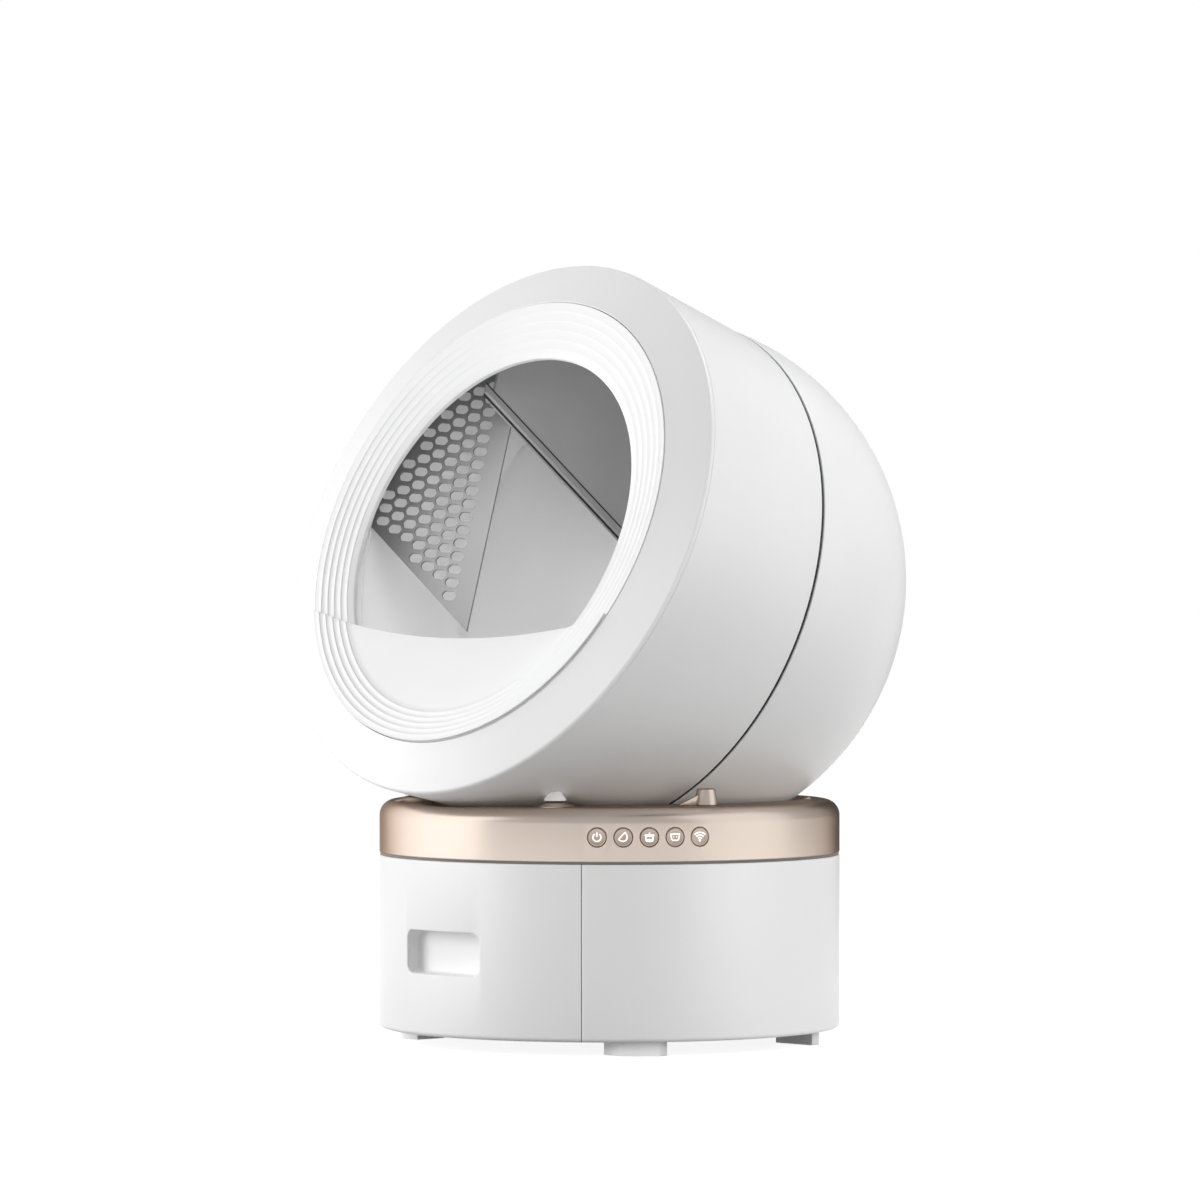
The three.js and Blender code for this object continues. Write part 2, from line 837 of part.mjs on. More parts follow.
function pocket(grow, high) {
  const bottom = rearRollerRadius + rollerGap + wall + grow;
  const size = [yokeOutside + 2 * grow, yokeLength(rearRollerRadius) + 2 * grow, bottom + high];
  return block(size, [0, 0, (bottom - high) / 2]);
}

// Base
function sector(halfAngle, bottom, top) {
  const reach = baseRadius + overrun;
  const side = reach * Math.tan(halfAngle * degrees);
  return prism([corner(0, 0), corner(-side, -reach), corner(side, -reach)], bottom, top);
}

function baseHousing() {
  const inner = baseRadius - wall;
  const shell = solid(turned([
    [0, footHeight],
    [baseRadius - bodyFillet, footHeight],
    [baseRadius, footHeight + bodyFillet],
    [baseRadius, bodyTop],
    [inner, bodyTop],
    [inner, footHeight + wall],
    [0, footHeight + wall],
  ]));
  const room = solid(rod(inner - 2 * seatGap, 0, bodyTop + overrun, roundSegments));
  const opening = solid(sector(drawerHalfAngle, 0, bodyTop + overrun)).subtract(room);
  const inlet = rod(inletRadius + seatGap, 0, 2 * overrun).rotateX(-Math.PI / 2);
  let body = shell.subtract(opening);
  for (const [x, y] of supportPlaces) {
    const post = rod(postRadius, footHeight + wall / 2, chassisBottom - seatGap, smallSegments / 2);
    body = body.add(solid(post.translate(x, y, 0)));
  }
  return body.subtract(solid(inlet.translate(0, baseRadius - overrun, inletHeight)));
}

function foot(side, back) {
  const halfX = footWidth / 2;
  const halfY = footDepth / 2;
  const outline = [
    corner(-halfX, -halfY),
    corner(halfX - footChamfer, -halfY),
    corner(halfX, -halfY + footChamfer),
    corner(halfX, halfY),
    corner(-halfX, halfY),
  ].map((point) => corner(side * point.x, back * point.y));
  return prism(outline, 0, footHeight - seatGap);
}

function powerInlet() {
  const profile = [
    [inletRadius / 2, 0],
    [inletRadius, 0],
    [inletRadius, inletLength],
    [inletRadius / 2, inletLength],
    [inletRadius / 2, 0],
  ];
  return solid(turned(profile, smallSegments)).add(solid(rod(inletRadius, 0, wall))).rotate([-90, 0, 0]);
}

function baseBlank(grow) {
  const radius = baseRadius - grow;
  const top = ringTop - grow;
  const round = ringFillet - grow;
  return solid(turned([
    [0, ringBottom - (grow ? overrun : 0)],
    [radius, ringBottom - (grow ? overrun : 0)],
    ...arc(round, radius - round, top - round, 0, 90, filletSteps),
    [0, top],
  ]));
}

function tongue() {
  const outer = baseRadius - wall - seatGap;
  const band = solid(turned([
    [outer - thinWall, ringBottom - tongueDepth],
    [outer, ringBottom - tongueDepth],
    [outer, ringBottom],
    [baseRadius - wall / 2, ringBottom],
    [baseRadius - wall / 2, ringBottom + wall],
    [outer - thinWall, ringBottom + wall],
    [outer - thinWall, ringBottom - tongueDepth],
  ]));
  return band.subtract(solid(sector(drawerHalfAngle + tongueEndAngle, 0, ringBottom)));
}

function humpCap(side) {
  const radius = (humpRadius ** 2 + humpHeight ** 2) / (2 * humpHeight);
  const span = Math.asin(humpRadius / radius) / degrees;
  const top = humpHeight - seatGap;
  const cap = solid(turned([[0, -wall / 2], [humpRadius, -wall / 2],
    ...arc(radius, 0, humpHeight - radius, 90 - span, 90, filletSteps)], smallSegments));
  const trim = solid(rod(humpRadius + overrun, top, top + overrun));
  return cap.subtract(trim).translate([side * humpX, -humpY, ringTop]);
}

function buttonFrame(i) {
  const turn = (buttonFirstAngle + i * buttonPitchAngle) * degrees;
  const out = new THREE.Vector3(Math.sin(turn), -Math.cos(turn), 0);
  const place = out.clone().multiplyScalar(baseRadius).setZ(buttonHeight);
  return frameAlong(place, out, new THREE.Vector3(-out.y, out.x, 0));
}

function topCover() {
  const deck = envelope(deckClearance + wall, deckSegments);
  const hollow = baseBlank(wall).subtract(deck);
  const pads = [-1, 1].map((side) => {
    const centre = [side * padX, -padY, ringTop / 2];
    return solid(block([padWidth, padWidth, ringTop], centre));
  });
  const padBand = envelope(deckClearance + wall / 2).subtract(envelope(seatGap));
  const throat = rod(throatRadius, 0, ringTop + overrun, deckSegments).translate(0, domeCentreY, 0);
  let cover = baseBlank(0).subtract(hollow);
  cover = cover.subtract(envelope(deckClearance, deckSegments)).subtract(solid(throat));
  cover = cover.add(tongue());
  for (const side of [-1, 1]) {
    const frame = drumFrame.clone().multiply(rearRollerFrame(side));
    cover = cover.add(solid(pocket(seatGap + thinWall, yokeRise + seatGap), frame));
    cover = cover.subtract(solid(pocket(seatGap, overrun), frame));
    cover = cover.add(humpCap(side));
  }
  for (const pad of pads) {
    cover = cover.add(pad.intersect(padBand));
  }
  for (let i = 0; i < buttonNames.length; i += 1) {
    const frame = buttonFrame(i);
    cover = cover.subtract(solid(rod(buttonHoleRadius, -overrun / 2, overrun), frame));
    cover = cover.subtract(solid(rod(buttonGrooveRadius, -buttonGrooveDepth, overrun), frame));
  }
  return cover.subtract(pinionWindow(drumFrame));
}

function hoodFoot(side) {
  const top = humpHeight + overrun;
  const cone = turned([[0, humpHeight], [hoodFootRadius, humpHeight], [hoodFootTopRadius, top / 2],
    [hoodFootTopRadius, top], [0, top]], smallSegments);
  return solid(cone.translate(side * humpX, -humpY, ringTop)).subtract(envelope(seatGap));
}

function guidePost() {
  const top = guidePostHeight;
  const round = wall / 2;
  const post = turned([[0, 0], [guidePostRadius, 0], [guidePostTopRadius, top - round],
    [guidePostTopRadius - round, top], [0, top]], smallSegments);
  const web = prism([corner(0, 0), corner(webLength, 0), corner(0, top - round)], -webWall / 2, webWall / 2);
  return solid(post).add(solid(web.rotateX(Math.PI / 2)));
}

function chassisPlate() {
  const hole = throatRadius + wall + seatGap;
  const top = chassisBottom + wall;
  const disc = rod(baseRadius - shellWall - seatGap, chassisBottom, top, roundSegments);
  const throat = rod(hole, 0, bodyTop, deckSegments).translate(0, domeCentreY, 0);
  const cradlePlace = [motorPlace.x, -cradleY, top + overrun / 2 - wall / 2];
  const cradle = block([cradleWidth, cradleLength, overrun], cradlePlace);
  let plate = solid(disc).subtract(solid(throat)).add(solid(cradle));
  for (const sideX of [-1, 1]) {
    for (const sideY of [-1, 1]) {
      const x = boardX + (sideX * boardWidth) / 2 - sideX * boardLift;
      const y = boardY + (sideY * boardLength) / 2 - sideY * boardLift;
      const stud = rod(rollerPin, top - wall / 2, top + boardLift - seatGap, smallSegments / 2);
      plate = plate.add(solid(stud.translate(x, y, 0)));
    }
  }
  return plate.subtract(solid(motorBody(seatGap), drumFrame));
}

function wasteChute() {
  const inner = throatRadius;
  const outer = throatRadius + wall;
  const seat = chassisBottom + wall + seatGap;
  return turned([
    [inner, chuteBottom],
    [outer, chuteBottom],
    [outer, seat],
    [outer + chuteFlange, seat],
    [outer + chuteFlange, seat + thinWall],
    [outer, seat + thinWall],
    [outer, chuteTop],
    [inner, chuteTop],
    [inner, chuteBottom],
  ], deckSegments).translate(0, domeCentreY, 0);
}

function controlBoard() {
  const bottom = chassisBottom + wall + boardLift;
  const board = block([boardWidth, boardLength, boardWall], [boardX, boardY, bottom + boardWall / 2]);
  const chip = block([boardWidth * chipShare, boardLength * chipShare, chipHeight + boardWall],
    [boardX, boardY, bottom + (chipHeight + boardWall) / 2]);
  return solid(board).add(solid(chip));
}

// Drawer
function drawerFront() {
  const inner = baseRadius - shellWall;
  const low = footHeight + seatGap;
  const shell = solid(turned([
    [inner, low],
    [baseRadius - bodyFillet + seatGap, low],
    [baseRadius, low + bodyFillet],
    [baseRadius, bodyTop],
    [inner, bodyTop],
    [inner, low],
  ]));
  const half = drawerHalfAngle - drawerGap / baseRadius / degrees;
  const window = handlePrism(thinWall, baseRadius);
  return shell.intersect(solid(sector(half, 0, bodyTop + overrun))).subtract(window);
}

function roundedRectangle(width, bottom, top, radius) {
  const half = width / 2;
  const shape = new THREE.Shape();
  shape.moveTo(-half + radius, bottom);
  shape.lineTo(half - radius, bottom);
  shape.absarc(half - radius, bottom + radius, radius, -Math.PI / 2, 0, false);
  shape.lineTo(half, top - radius);
  shape.absarc(half - radius, top - radius, radius, 0, Math.PI / 2, false);
  shape.lineTo(-half + radius, top);
  shape.absarc(-half + radius, top - radius, radius, Math.PI / 2, Math.PI, false);
  shape.lineTo(-half, bottom + radius);
  shape.absarc(-half + radius, bottom + radius, radius, Math.PI, 1.5 * Math.PI, false);
  return shape;
}

// The handle's outline grown by a margin, from the front back to the given depth behind it.
function handlePrism(grow, depth) {
  const outline = roundedRectangle(handleWidth + 2 * grow, handleBottom - grow, handleTop + grow,
    handleCorner + grow);
  const tube = prism(outline, -overrun, depth).rotateX(Math.PI / 2);
  return solid(tube.scale(1, -1, 1).translate(0, -baseRadius, 0));
}

function handleCup() {
  const outer = handlePrism(thinWall - seatGap, handleDepth + thinWall);
  const round = solid(rod(baseRadius - seatGap, 0, bodyTop, 2 * roundSegments));
  return outer.intersect(round).subtract(handlePrism(0, handleDepth));
}

const tubFront = baseRadius - handleDepth - thinWall - seatGap;

function tubBlank(inset, bottom, top) {
  const half = tubHalfWidth - inset;
  const length = tubRear + tubFront - 2 * inset;
  const box = block([2 * half, length, top - bottom], [0, (tubRear - tubFront) / 2, (top + bottom) / 2]);
  return solid(box).intersect(solid(rod(baseRadius - shellWall - seatGap - inset, bottom, top, roundSegments)));
}

function drawerTub() {
  return tubBlank(0, tubBottom, tubTop).subtract(tubBlank(thinWall, tubBottom + thinWall, tubTop + overrun));
}

function bagRing() {
  const bottom = tubTop + seatGap;
  const top = bottom + bagRingHeight;
  return tubBlank(seatGap, bottom, top).subtract(tubBlank(bagRingWidth, bottom - overrun, top + overrun));
}

function drawerRail(side) {
  const inner = tubHalfWidth + seatGap;
  const outer = inner + thinWall;
  const low = footHeight + wall + seatGap;
  const outline = [
    corner(inner - railFoot, low),
    corner(outer, low),
    corner(outer, low + railHeight),
    corner(inner, low + railHeight),
    corner(inner, tubBottom - seatGap),
    corner(inner - railFoot, tubBottom - seatGap),
  ].map((point) => corner(side * point.x, point.y));
  return prism(outline, -railReach, railReach).rotateX(Math.PI / 2);
}

// Buttons, each in its own frame with Z out of the ring
function buttonCap() {
  const flange = -wall - buttonSeat;
  const back = flange - buttonFlangeWall;
  const stem = carrierRadius - baseRadius + seatGap + buttonTravel;
  return turned([
    [0, stem],
    [buttonStemRadius, stem],
    [buttonStemRadius, back],
    [buttonFlangeRadius, back],
    [buttonFlangeRadius, flange],
    [buttonRadius, flange],
    [buttonRadius, -seatGap],
    [buttonRadius - buttonGrooveDepth, 0],
    [0, 0],
  ], smallSegments);
}

function buttonCarrier() {
  const inner = carrierRadius - wall;
  const top = ringTop - wall - seatGap;
  const ring = solid(turned(ringProfile(inner, carrierRadius, carrierBottom, top)));
  const span = (buttonNames.length - 1) * buttonPitchAngle;
  const half = span / 2 + carrierMarginAngle;
  const middle = (buttonFirstAngle + span / 2) * degrees;
  return ring.intersect(solid(sector(half, 0, ringTop).rotateZ(middle)));
}

// Assembly
const supportPlaces = [[-postX, -postY], [postX, -postY], [-postX, postY], [postX, postY]];
const sides = [["left", -1], ["right", 1]];

function framed(frame, ...children) {
  const group = new THREE.Group();
  group.applyMatrix4(frame);
  group.add(...children);
  return group;
}

function baseAssembly() {
  const group = new THREE.Group();
  group.add(piece("base_housing", baseHousing(), whitePlastic()));
  group.add(piece("top_cover", topCover(), champagne()));
  group.add(piece("chassis_plate", chassisPlate(), blackPlastic()));
  group.add(piece("waste_chute", wasteChute(), greyRubber()));
  group.add(piece("control_board", controlBoard(), greenBoard()));
  group.add(piece("button_carrier", buttonCarrier(), blackPlastic()));
  const inlet = piece("power_inlet", powerInlet(), blackPlastic());
  inlet.position.set(0, baseRadius - inletLength, inletHeight);
  group.add(inlet);
  for (const [word, side] of sides) {
    group.add(piece(`drawer_rail_${word}`, drawerRail(side), acetal()));
    group.add(piece(`hood_foot_${word}`, hoodFoot(side), whitePlastic()));
    const post = piece(`guide_post_${word}`, guidePost(), champagne());
    post.position.set(side * guidePostX, -guidePostY, ringTop + seatGap);
    post.rotation.z = -Math.PI / 2 - side * guideTurn * degrees;
    group.add(post);
    for (const [end, back] of [["front", 1], ["rear", -1]]) {
      const standing = piece(`foot_${end}_${word}`, foot(side, back), greyRubber());
      const reachX = footReach * Math.sin(footAzimuth * degrees);
      const reachY = footReach * Math.cos(footAzimuth * degrees);
      standing.position.set(side * reachX, -back * reachY, 0);
      group.add(standing);
    }
  }
  return group;
}

function drawerAssembly() {
  const group = new THREE.Group();
  group.add(piece("drawer_front", drawerFront(), whitePlastic()));
  group.add(piece("handle_cup", handleCup(), whitePlastic()));
  group.add(piece("drawer_tub", drawerTub(), paleLiner()));
  group.add(piece("bag_ring", bagRing(), darkPanel()));
  return group;
}

function buttonAssembly() {
  const group = new THREE.Group();
  buttonNames.forEach((word, i) => {
    group.add(framed(buttonFrame(i), piece(`button_${word}`, buttonCap(), champagne())));
  });
  return group;
}

function drumAssembly() {
  const group = framed(drumFrame,
    piece("front_hood", frontHood(), whitePlastic()),
    piece("rear_dome", rearDome(), whitePlastic()),
    piece("dome_liner", domeLiner(), paleLiner()),
    piece("port_shutter", portShutter(), darkPanel()),
    piece("drum_barrel", drumBarrel(), paleLiner()),
    piece("ring_gear", ringGear(), acetal()),
    piece("divider_panel", dividerPanel(), darkPanel()),
    piece("sieve_plate", sievePlate(), darkPanel()),
    piece("gearbox", gearbox(), blackPlastic()),
    piece("drive_motor", motorBody(0), steel()));
  const gear = group.getObjectByName("ring_gear");
  gear.rotation.z = (180 / gearTeeth - pinionAngle) * degrees;
  const pinion = piece("drive_pinion", drivePinion(), acetal());
  pinion.position.copy(pinionPlace);
  pinion.rotation.z = Math.PI - pinionAngle * degrees;
  group.add(pinion);
  for (const [word, side] of sides) {
    group.add(framed(rearRollerFrame(side),
      piece(`rear_roller_${word}`, rollerWheel(rearRollerRadius), greyRubber()),
      piece(`rear_roller_pin_${word}`, rollerAxle(), steel()),
      piece(`rear_roller_yoke_${word}`, yoke(rearRollerRadius, wall), blackPlastic())));
    group.add(framed(frontRollerFrame(side),
      piece(`front_roller_${word}`, rollerWheel(frontRollerRadius), greyRubber()),
      piece(`front_roller_pin_${word}`, rollerAxle(), steel()),
      piece(`front_roller_yoke_${word}`, frontYoke(side), blackPlastic())));
  }
  return group;
}

function faceAssembly() {
  return framed(faceFrame,
    piece("rim_cap", rimCap(), whitePlastic()),
    piece("entry_ring", entryRing(), whitePlastic()),
    piece("entry_guard", entryGuard(), whitePlastic()),
    piece("top_tab", topTab(), whitePlastic()));
}

// The origin is on the floor, at the middle of the space that the object takes.
const litterBox = new THREE.Group();
litterBox.add(baseAssembly(), drawerAssembly(), buttonAssembly(), drumAssembly(), faceAssembly());
litterBox.updateMatrixWorld(true);
const extent = new THREE.Box3().setFromObject(litterBox, true);
litterBox.position.y = -(extent.min.y + extent.max.y) / 2;

export default litterBox;
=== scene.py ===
# %% [markdown]
# # A self cleaning litter box
# A round base with a drawer carries a fixed hood, and a drum turns inside the hood about a tilted axis.
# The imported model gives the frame: where each body is and how it moves. This script dresses it with smooth
# shells, fine ribs, seams, icons and finishes. Lengths below are in millimetres and become metres only when
# a mesh is made.

# %% Load the frame
import json
import math

import bmesh
import bpy
import numpy as np
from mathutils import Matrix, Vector

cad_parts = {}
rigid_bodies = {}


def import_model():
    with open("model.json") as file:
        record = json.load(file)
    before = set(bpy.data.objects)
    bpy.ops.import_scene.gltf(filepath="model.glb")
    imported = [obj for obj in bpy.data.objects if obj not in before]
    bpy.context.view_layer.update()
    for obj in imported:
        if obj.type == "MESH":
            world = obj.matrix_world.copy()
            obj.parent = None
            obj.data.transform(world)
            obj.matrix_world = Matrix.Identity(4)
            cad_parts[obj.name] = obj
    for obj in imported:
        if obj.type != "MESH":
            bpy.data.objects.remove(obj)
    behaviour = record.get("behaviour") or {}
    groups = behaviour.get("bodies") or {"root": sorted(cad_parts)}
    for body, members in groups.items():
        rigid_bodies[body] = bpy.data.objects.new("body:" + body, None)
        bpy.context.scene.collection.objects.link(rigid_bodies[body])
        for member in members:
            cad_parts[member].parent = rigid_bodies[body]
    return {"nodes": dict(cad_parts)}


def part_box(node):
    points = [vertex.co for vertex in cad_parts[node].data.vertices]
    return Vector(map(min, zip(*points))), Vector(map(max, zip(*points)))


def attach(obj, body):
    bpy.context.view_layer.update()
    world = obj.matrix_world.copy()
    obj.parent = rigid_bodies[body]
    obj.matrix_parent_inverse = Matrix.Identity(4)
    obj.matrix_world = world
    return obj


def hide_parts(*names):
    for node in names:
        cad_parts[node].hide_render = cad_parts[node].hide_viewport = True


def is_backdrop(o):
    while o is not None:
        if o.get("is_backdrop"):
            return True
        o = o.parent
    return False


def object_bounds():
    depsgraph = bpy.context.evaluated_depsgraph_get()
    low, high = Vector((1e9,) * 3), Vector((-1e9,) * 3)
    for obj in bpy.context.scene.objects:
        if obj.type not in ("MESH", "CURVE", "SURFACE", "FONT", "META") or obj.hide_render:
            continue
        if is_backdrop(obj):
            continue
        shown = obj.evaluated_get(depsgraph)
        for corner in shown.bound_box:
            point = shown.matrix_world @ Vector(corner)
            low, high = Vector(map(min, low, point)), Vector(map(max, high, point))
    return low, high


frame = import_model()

cad_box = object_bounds()
scene = bpy.context.scene
MM = 0.001
BASE_RADIUS = 207.0
BASE_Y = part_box("base_housing")[1].y / MM - BASE_RADIUS

# %% [markdown]
# ## Camera
# The photograph was taken with a long lens, almost level with the middle of the object, from the front and
# right. A long focal length far away keeps circles nearly parallel, as they are in the photograph.

# %% Camera
VIEW_AZIMUTH = math.radians(46.74)
VIEW_DISTANCE = 6165.0
VIEW_HEIGHT = 459.5
FOCAL_PIXELS = 6850.0
IMAGE_PIXELS = 1200
SENSOR = 36.0
HORIZON_ROW = 530.0
AXIS_COLUMN = 609.5
NEAREST, FARTHEST = 100.0, 60000.0

camera_data = bpy.data.cameras.new("camera")
camera_data.sensor_width = SENSOR
camera_data.lens = FOCAL_PIXELS / IMAGE_PIXELS * SENSOR
camera = bpy.data.objects.new("camera", camera_data)
scene.collection.objects.link(camera)
scene.camera = camera
away = Vector((math.sin(VIEW_AZIMUTH), -math.cos(VIEW_AZIMUTH), 0))
side = Vector((math.cos(VIEW_AZIMUTH), math.sin(VIEW_AZIMUTH), 0))
camera.location = (Vector((0, BASE_Y, VIEW_HEIGHT)) + away * VIEW_DISTANCE) * MM
down = (IMAGE_PIXELS / 2 - HORIZON_ROW) / FOCAL_PIXELS
across = (AXIS_COLUMN - IMAGE_PIXELS / 2) / FOCAL_PIXELS
aim = -away - side * across - Vector((0, 0, down))
camera.rotation_euler = aim.to_track_quat("-Z", "Y").to_euler()
camera_data.clip_start, camera_data.clip_end = NEAREST * MM, FARTHEST * MM
print("camera at", [round(v, 3) for v in camera.location], "lens", round(camera_data.lens, 1))

# %% [markdown]
# ## Finishes
# The real object has a satin white shell, a champagne metallic ring, pale and dark grey plastic inside the
# drum, and rubber, steel and black plastic where it turns. A flat colour would look like none of them, and an
# image would need a flat layout of every piece. So each finish is a small node tree that reads the piece's
# own coordinates: a slow noise shifts the colour a little, a middle one the roughness, and a fine one makes
# the grain of the mould.

# %% A colour that drifts a little over a surface
def colour(hexadecimal):
    """A written colour such as f2f2f1 as linear light."""
    parts = [int(hexadecimal[i:i + 2], 16) / 255 for i in (0, 2, 4)]
    return tuple(c / 12.92 if c < 0.04045 else ((c + 0.055) / 1.055) ** 2.4 for c in parts) + (1,)


def noise(tree, scale, detail=2.0):
    """A noise in the piece's own coordinates. Its scale is per metre."""
    place = tree.nodes.new("ShaderNodeTexCoord")
    node = tree.nodes.new("ShaderNodeTexNoise")
    node.inputs["Scale"].default_value = scale
    node.inputs["Detail"].default_value = detail
    tree.links.new(place.outputs["Object"], node.inputs["Vector"])
    return node.outputs["Fac"]


def mottled(name, shade, tint, scale, ends=(0.0, 1.0)):
    """A material whose colour drifts between two close ones, with its tree, its shader and that colour."""
    made = bpy.data.materials.new(name)
    made.use_nodes = True
    tree = made.node_tree
    shader = tree.nodes["Principled BSDF"]
    ramp = tree.nodes.new("ShaderNodeValToRGB")
    for stop, position, written in zip(ramp.color_ramp.elements, ends, (shade, tint)):
        stop.position, stop.color = position, colour(written)
    tree.links.new(noise(tree, scale), ramp.inputs["Fac"])
    tree.links.new(ramp.outputs["Color"], shader.inputs["Base Color"])
    return made, tree, shader, ramp.outputs["Color"]


# %% Node tree for a moulded or painted surface
DRIFT_ENDS = (0.3, 0.7)
FINER = 9
BUMP_STRENGTH = 0.35


def finish(name, shade, tint, rough, rough_spread=0.05, drift=7.0, grain=1500.0, grain_depth=0.02, metal=0.0,
           edge=None):
    """A surface between two close colours, with its own roughness and grain. Scales are per metre.

    edge is the tint of a metallic paint's gloss where it is seen at a steep angle."""
    made, tree, shader, _ = mottled(name, shade, tint, drift, DRIFT_ENDS)
    spread = tree.nodes.new("ShaderNodeMapRange")
    spread.inputs["To Min"].default_value = rough - rough_spread
    spread.inputs["To Max"].default_value = rough + rough_spread
    tree.links.new(noise(tree, drift * FINER, 4.0), spread.inputs["Value"])
    tree.links.new(spread.outputs["Result"], shader.inputs["Roughness"])
    bump = tree.nodes.new("ShaderNodeBump")
    bump.inputs["Strength"].default_value = BUMP_STRENGTH
    bump.inputs["Distance"].default_value = grain_depth * MM
    tree.links.new(noise(tree, grain, 3.0), bump.inputs["Height"])
    tree.links.new(bump.outputs["Normal"], shader.inputs["Normal"])
    shader.inputs["Metallic"].default_value = metal
    if edge:
        shader.inputs["Specular Tint"].default_value = colour(edge)
    made.diffuse_color = colour(shade)
    return made


# %% The finishes of this object
WHITE = finish("satin_white", "f1f1f1", "f4f4f4", 0.42)
CHAMPAGNE = finish("champagne_metallic", "dacbbf", "ded0c5", 0.3, 0.03, 5.0, 4200.0, 0.012, 0.95, "80695a")
CAP = finish("champagne_cap", "bfaea1", "c6b6a9", 0.38, 0.03, 20.0, 4200.0, 0.012, 0.85)
LINER = finish("pale_liner", "dadada", "dfdfdf", 0.5)
PANEL = finish("dark_panel", "7c7c7c", "818181", 0.5, 0.05, 9.0)
SIEVE_GREY = finish("sieve_grey", "626262", "686868", 0.52, 0.05, 9.0)
RUBBER = finish("grey_rubber", "48494b", "525355", 0.82, 0.06, 30.0, 900.0, 0.05)
FOOT_WHITE = finish("pale_foot", "e9e9e9", "eeeeee", 0.6, 0.06, 20.0, 1100.0, 0.03)
BLACK = finish("black_plastic", "232426", "2b2c2e", 0.55, 0.07, 20.0, 1100.0, 0.04)
STEEL = finish("turned_steel", "a9acaf", "babdc0", 0.28, 0.08, 60.0, 2500.0, 0.01, 1.0)
BOARD = finish("green_board", "234f35", "2d6042", 0.45, 0.05, 50.0, 1800.0, 0.03)
ACETAL = finish("acetal", "ded9cc", "e6e2d6", 0.45, 0.05, 14.0, 1300.0, 0.02)
# Black stands for painted shade: in the drum's seam, and in the crease and the gap at the divider's ridge.
PAINTED_SHADE = finish("seam_painted_shade", "0b0b0b", "121212", 0.8, 0.05, 25.0, 1500.0, 0.03)
# Grey stands for painted shade in the joint between ring and body.
JOINT_SHADE = finish("joint_painted_shade", "6b6866", "73706e", 0.6, 0.05, 25.0, 1500.0, 0.03)
print("finishes", len(bpy.data.materials))

# %% [markdown]
# ## Shapes from rings of points
# Nearly everything here is round, but about three different axes: the base stands upright, the drum leans
# 16.2 degrees and the entry 22.8 degrees. A screw or lathe modifier turns about one axis only, so it can't
# make the skewed cone between two of them. A ring is a circle of points in one of these frames, a skin
# through several rings makes a shell, and rings in different frames give the hood its skewed cone.

# %% Frames and rings
def frame_of(x, y, z, place=(0, 0, 0)):
    """A frame from its three axes and its place."""
    made = np.eye(4)
    made[:3, 0], made[:3, 1], made[:3, 2], made[:3, 3] = x, y, z, place
    return made


def tilted(tilt, y, z):
    """A frame whose Z leans forward and up by the tilt, in degrees."""
    lean = math.radians(tilt)
    return frame_of((1, 0, 0), (0, math.sin(lean), math.cos(lean)), (0, -math.cos(lean), math.sin(lean)),
                    (0, BASE_Y + y, z))


UPRIGHT = frame_of((1, 0, 0), (0, 1, 0), (0, 0, 1), (0, BASE_Y, 0))
DRUM_TILT, FACE_TILT, FACE_REACH = 16.2, 22.8, 194.8
DRUM_BACK, DRUM_HEIGHT = 37.2, 414.1
DRUM = tilted(DRUM_TILT, DRUM_BACK, DRUM_HEIGHT)
FACE = tilted(FACE_TILT, 0, 0)
FACE[:3, 3] = DRUM[:3, 3] + DRUM[:3, 2] * FACE_REACH
TURN = 2 * math.pi
SQUARE = ((-1, -1), (1, -1), (1, 1), (-1, 1))
ROUND = 160
SMALL = 32


def full(count=ROUND):
    return np.arange(count) * TURN / count


def span(first, last, count):
    """Angles from first to last in degrees, both ends kept."""
    return np.radians(np.linspace(first, last, count))


def ring(where, radius, along, up=0.0, turns=None):
    """A circle round Z of its frame, moved along Z and up Y. Any of the three may change round the ring."""
    turns = full() if turns is None else turns
    radius, along, up = (np.broadcast_to(v, turns.shape) for v in (radius, along, up))
    local = np.stack([radius * np.cos(turns), up + radius * np.sin(turns), along, np.ones_like(turns)])
    return (where @ local).T[:, :3]


def arc(radius, centre, first, last, count=6):
    """Points of an arc between two angles in degrees, for a profile or a symbol."""
    return [(centre[0] + radius * math.cos(t), centre[1] + radius * math.sin(t))
            for t in span(first, last, count)]


for name, where in (("drum", DRUM), ("face", FACE)):
    print(name, "frame at", [round(float(v), 1) for v in where[:3, 3]])


# %% Skins
def skin(rings, loop=True, closed=True):
    """Joins rings of equal length. loop closes each ring, and closed joins the last ring to the first."""
    count, size = len(rings), len(rings[0])
    points = np.concatenate(rings)
    faces = []
    for i in range(count if closed else count - 1):
        for j in range(size if loop else size - 1):
            near, far = i * size, (i + 1) % count * size
            faces.append((near + j, near + (j + 1) % size, far + (j + 1) % size, far + j))
    if loop and not closed:
        faces.append(tuple(range(size)))
        faces.append(tuple((count - 1) * size + j for j in range(size)))
    if closed and not loop:
        faces.append(tuple(i * size for i in range(count)))
        faces.append(tuple(i * size + size - 1 for i in range(count)))
    return points, faces


NEARLY_ROUND = TURN - 0.5


def turned(where, profile, turns=None, closed=True):
    """A profile of [radius, height] turned about Z of its frame."""
    loop = turns is None or abs(turns[-1] - turns[0]) > NEARLY_ROUND
    return skin([ring(where, r, z, turns=turns) for r, z in profile], loop, closed)


def spun(where, profile, count=ROUND):
    """A solid turned all round, with a flat face at each end of its profile."""
    return turned(where, profile, full(count), False)


def raised(where, flat, height):
    """Flat points [x, y] at a height along Z of their frame."""
    local = np.column_stack([flat, np.full(len(flat), height), np.ones(len(flat))])
    return (where @ local.T).T[:, :3]


def prism(where, outline, bottom, top):
    """A flat outline [x, y] raised from bottom to top along Z of its frame."""
    return skin([raised(where, np.array(outline, float), height) for height in (bottom, top)], closed=False)


# %% From points to a piece
WELD = 0.002


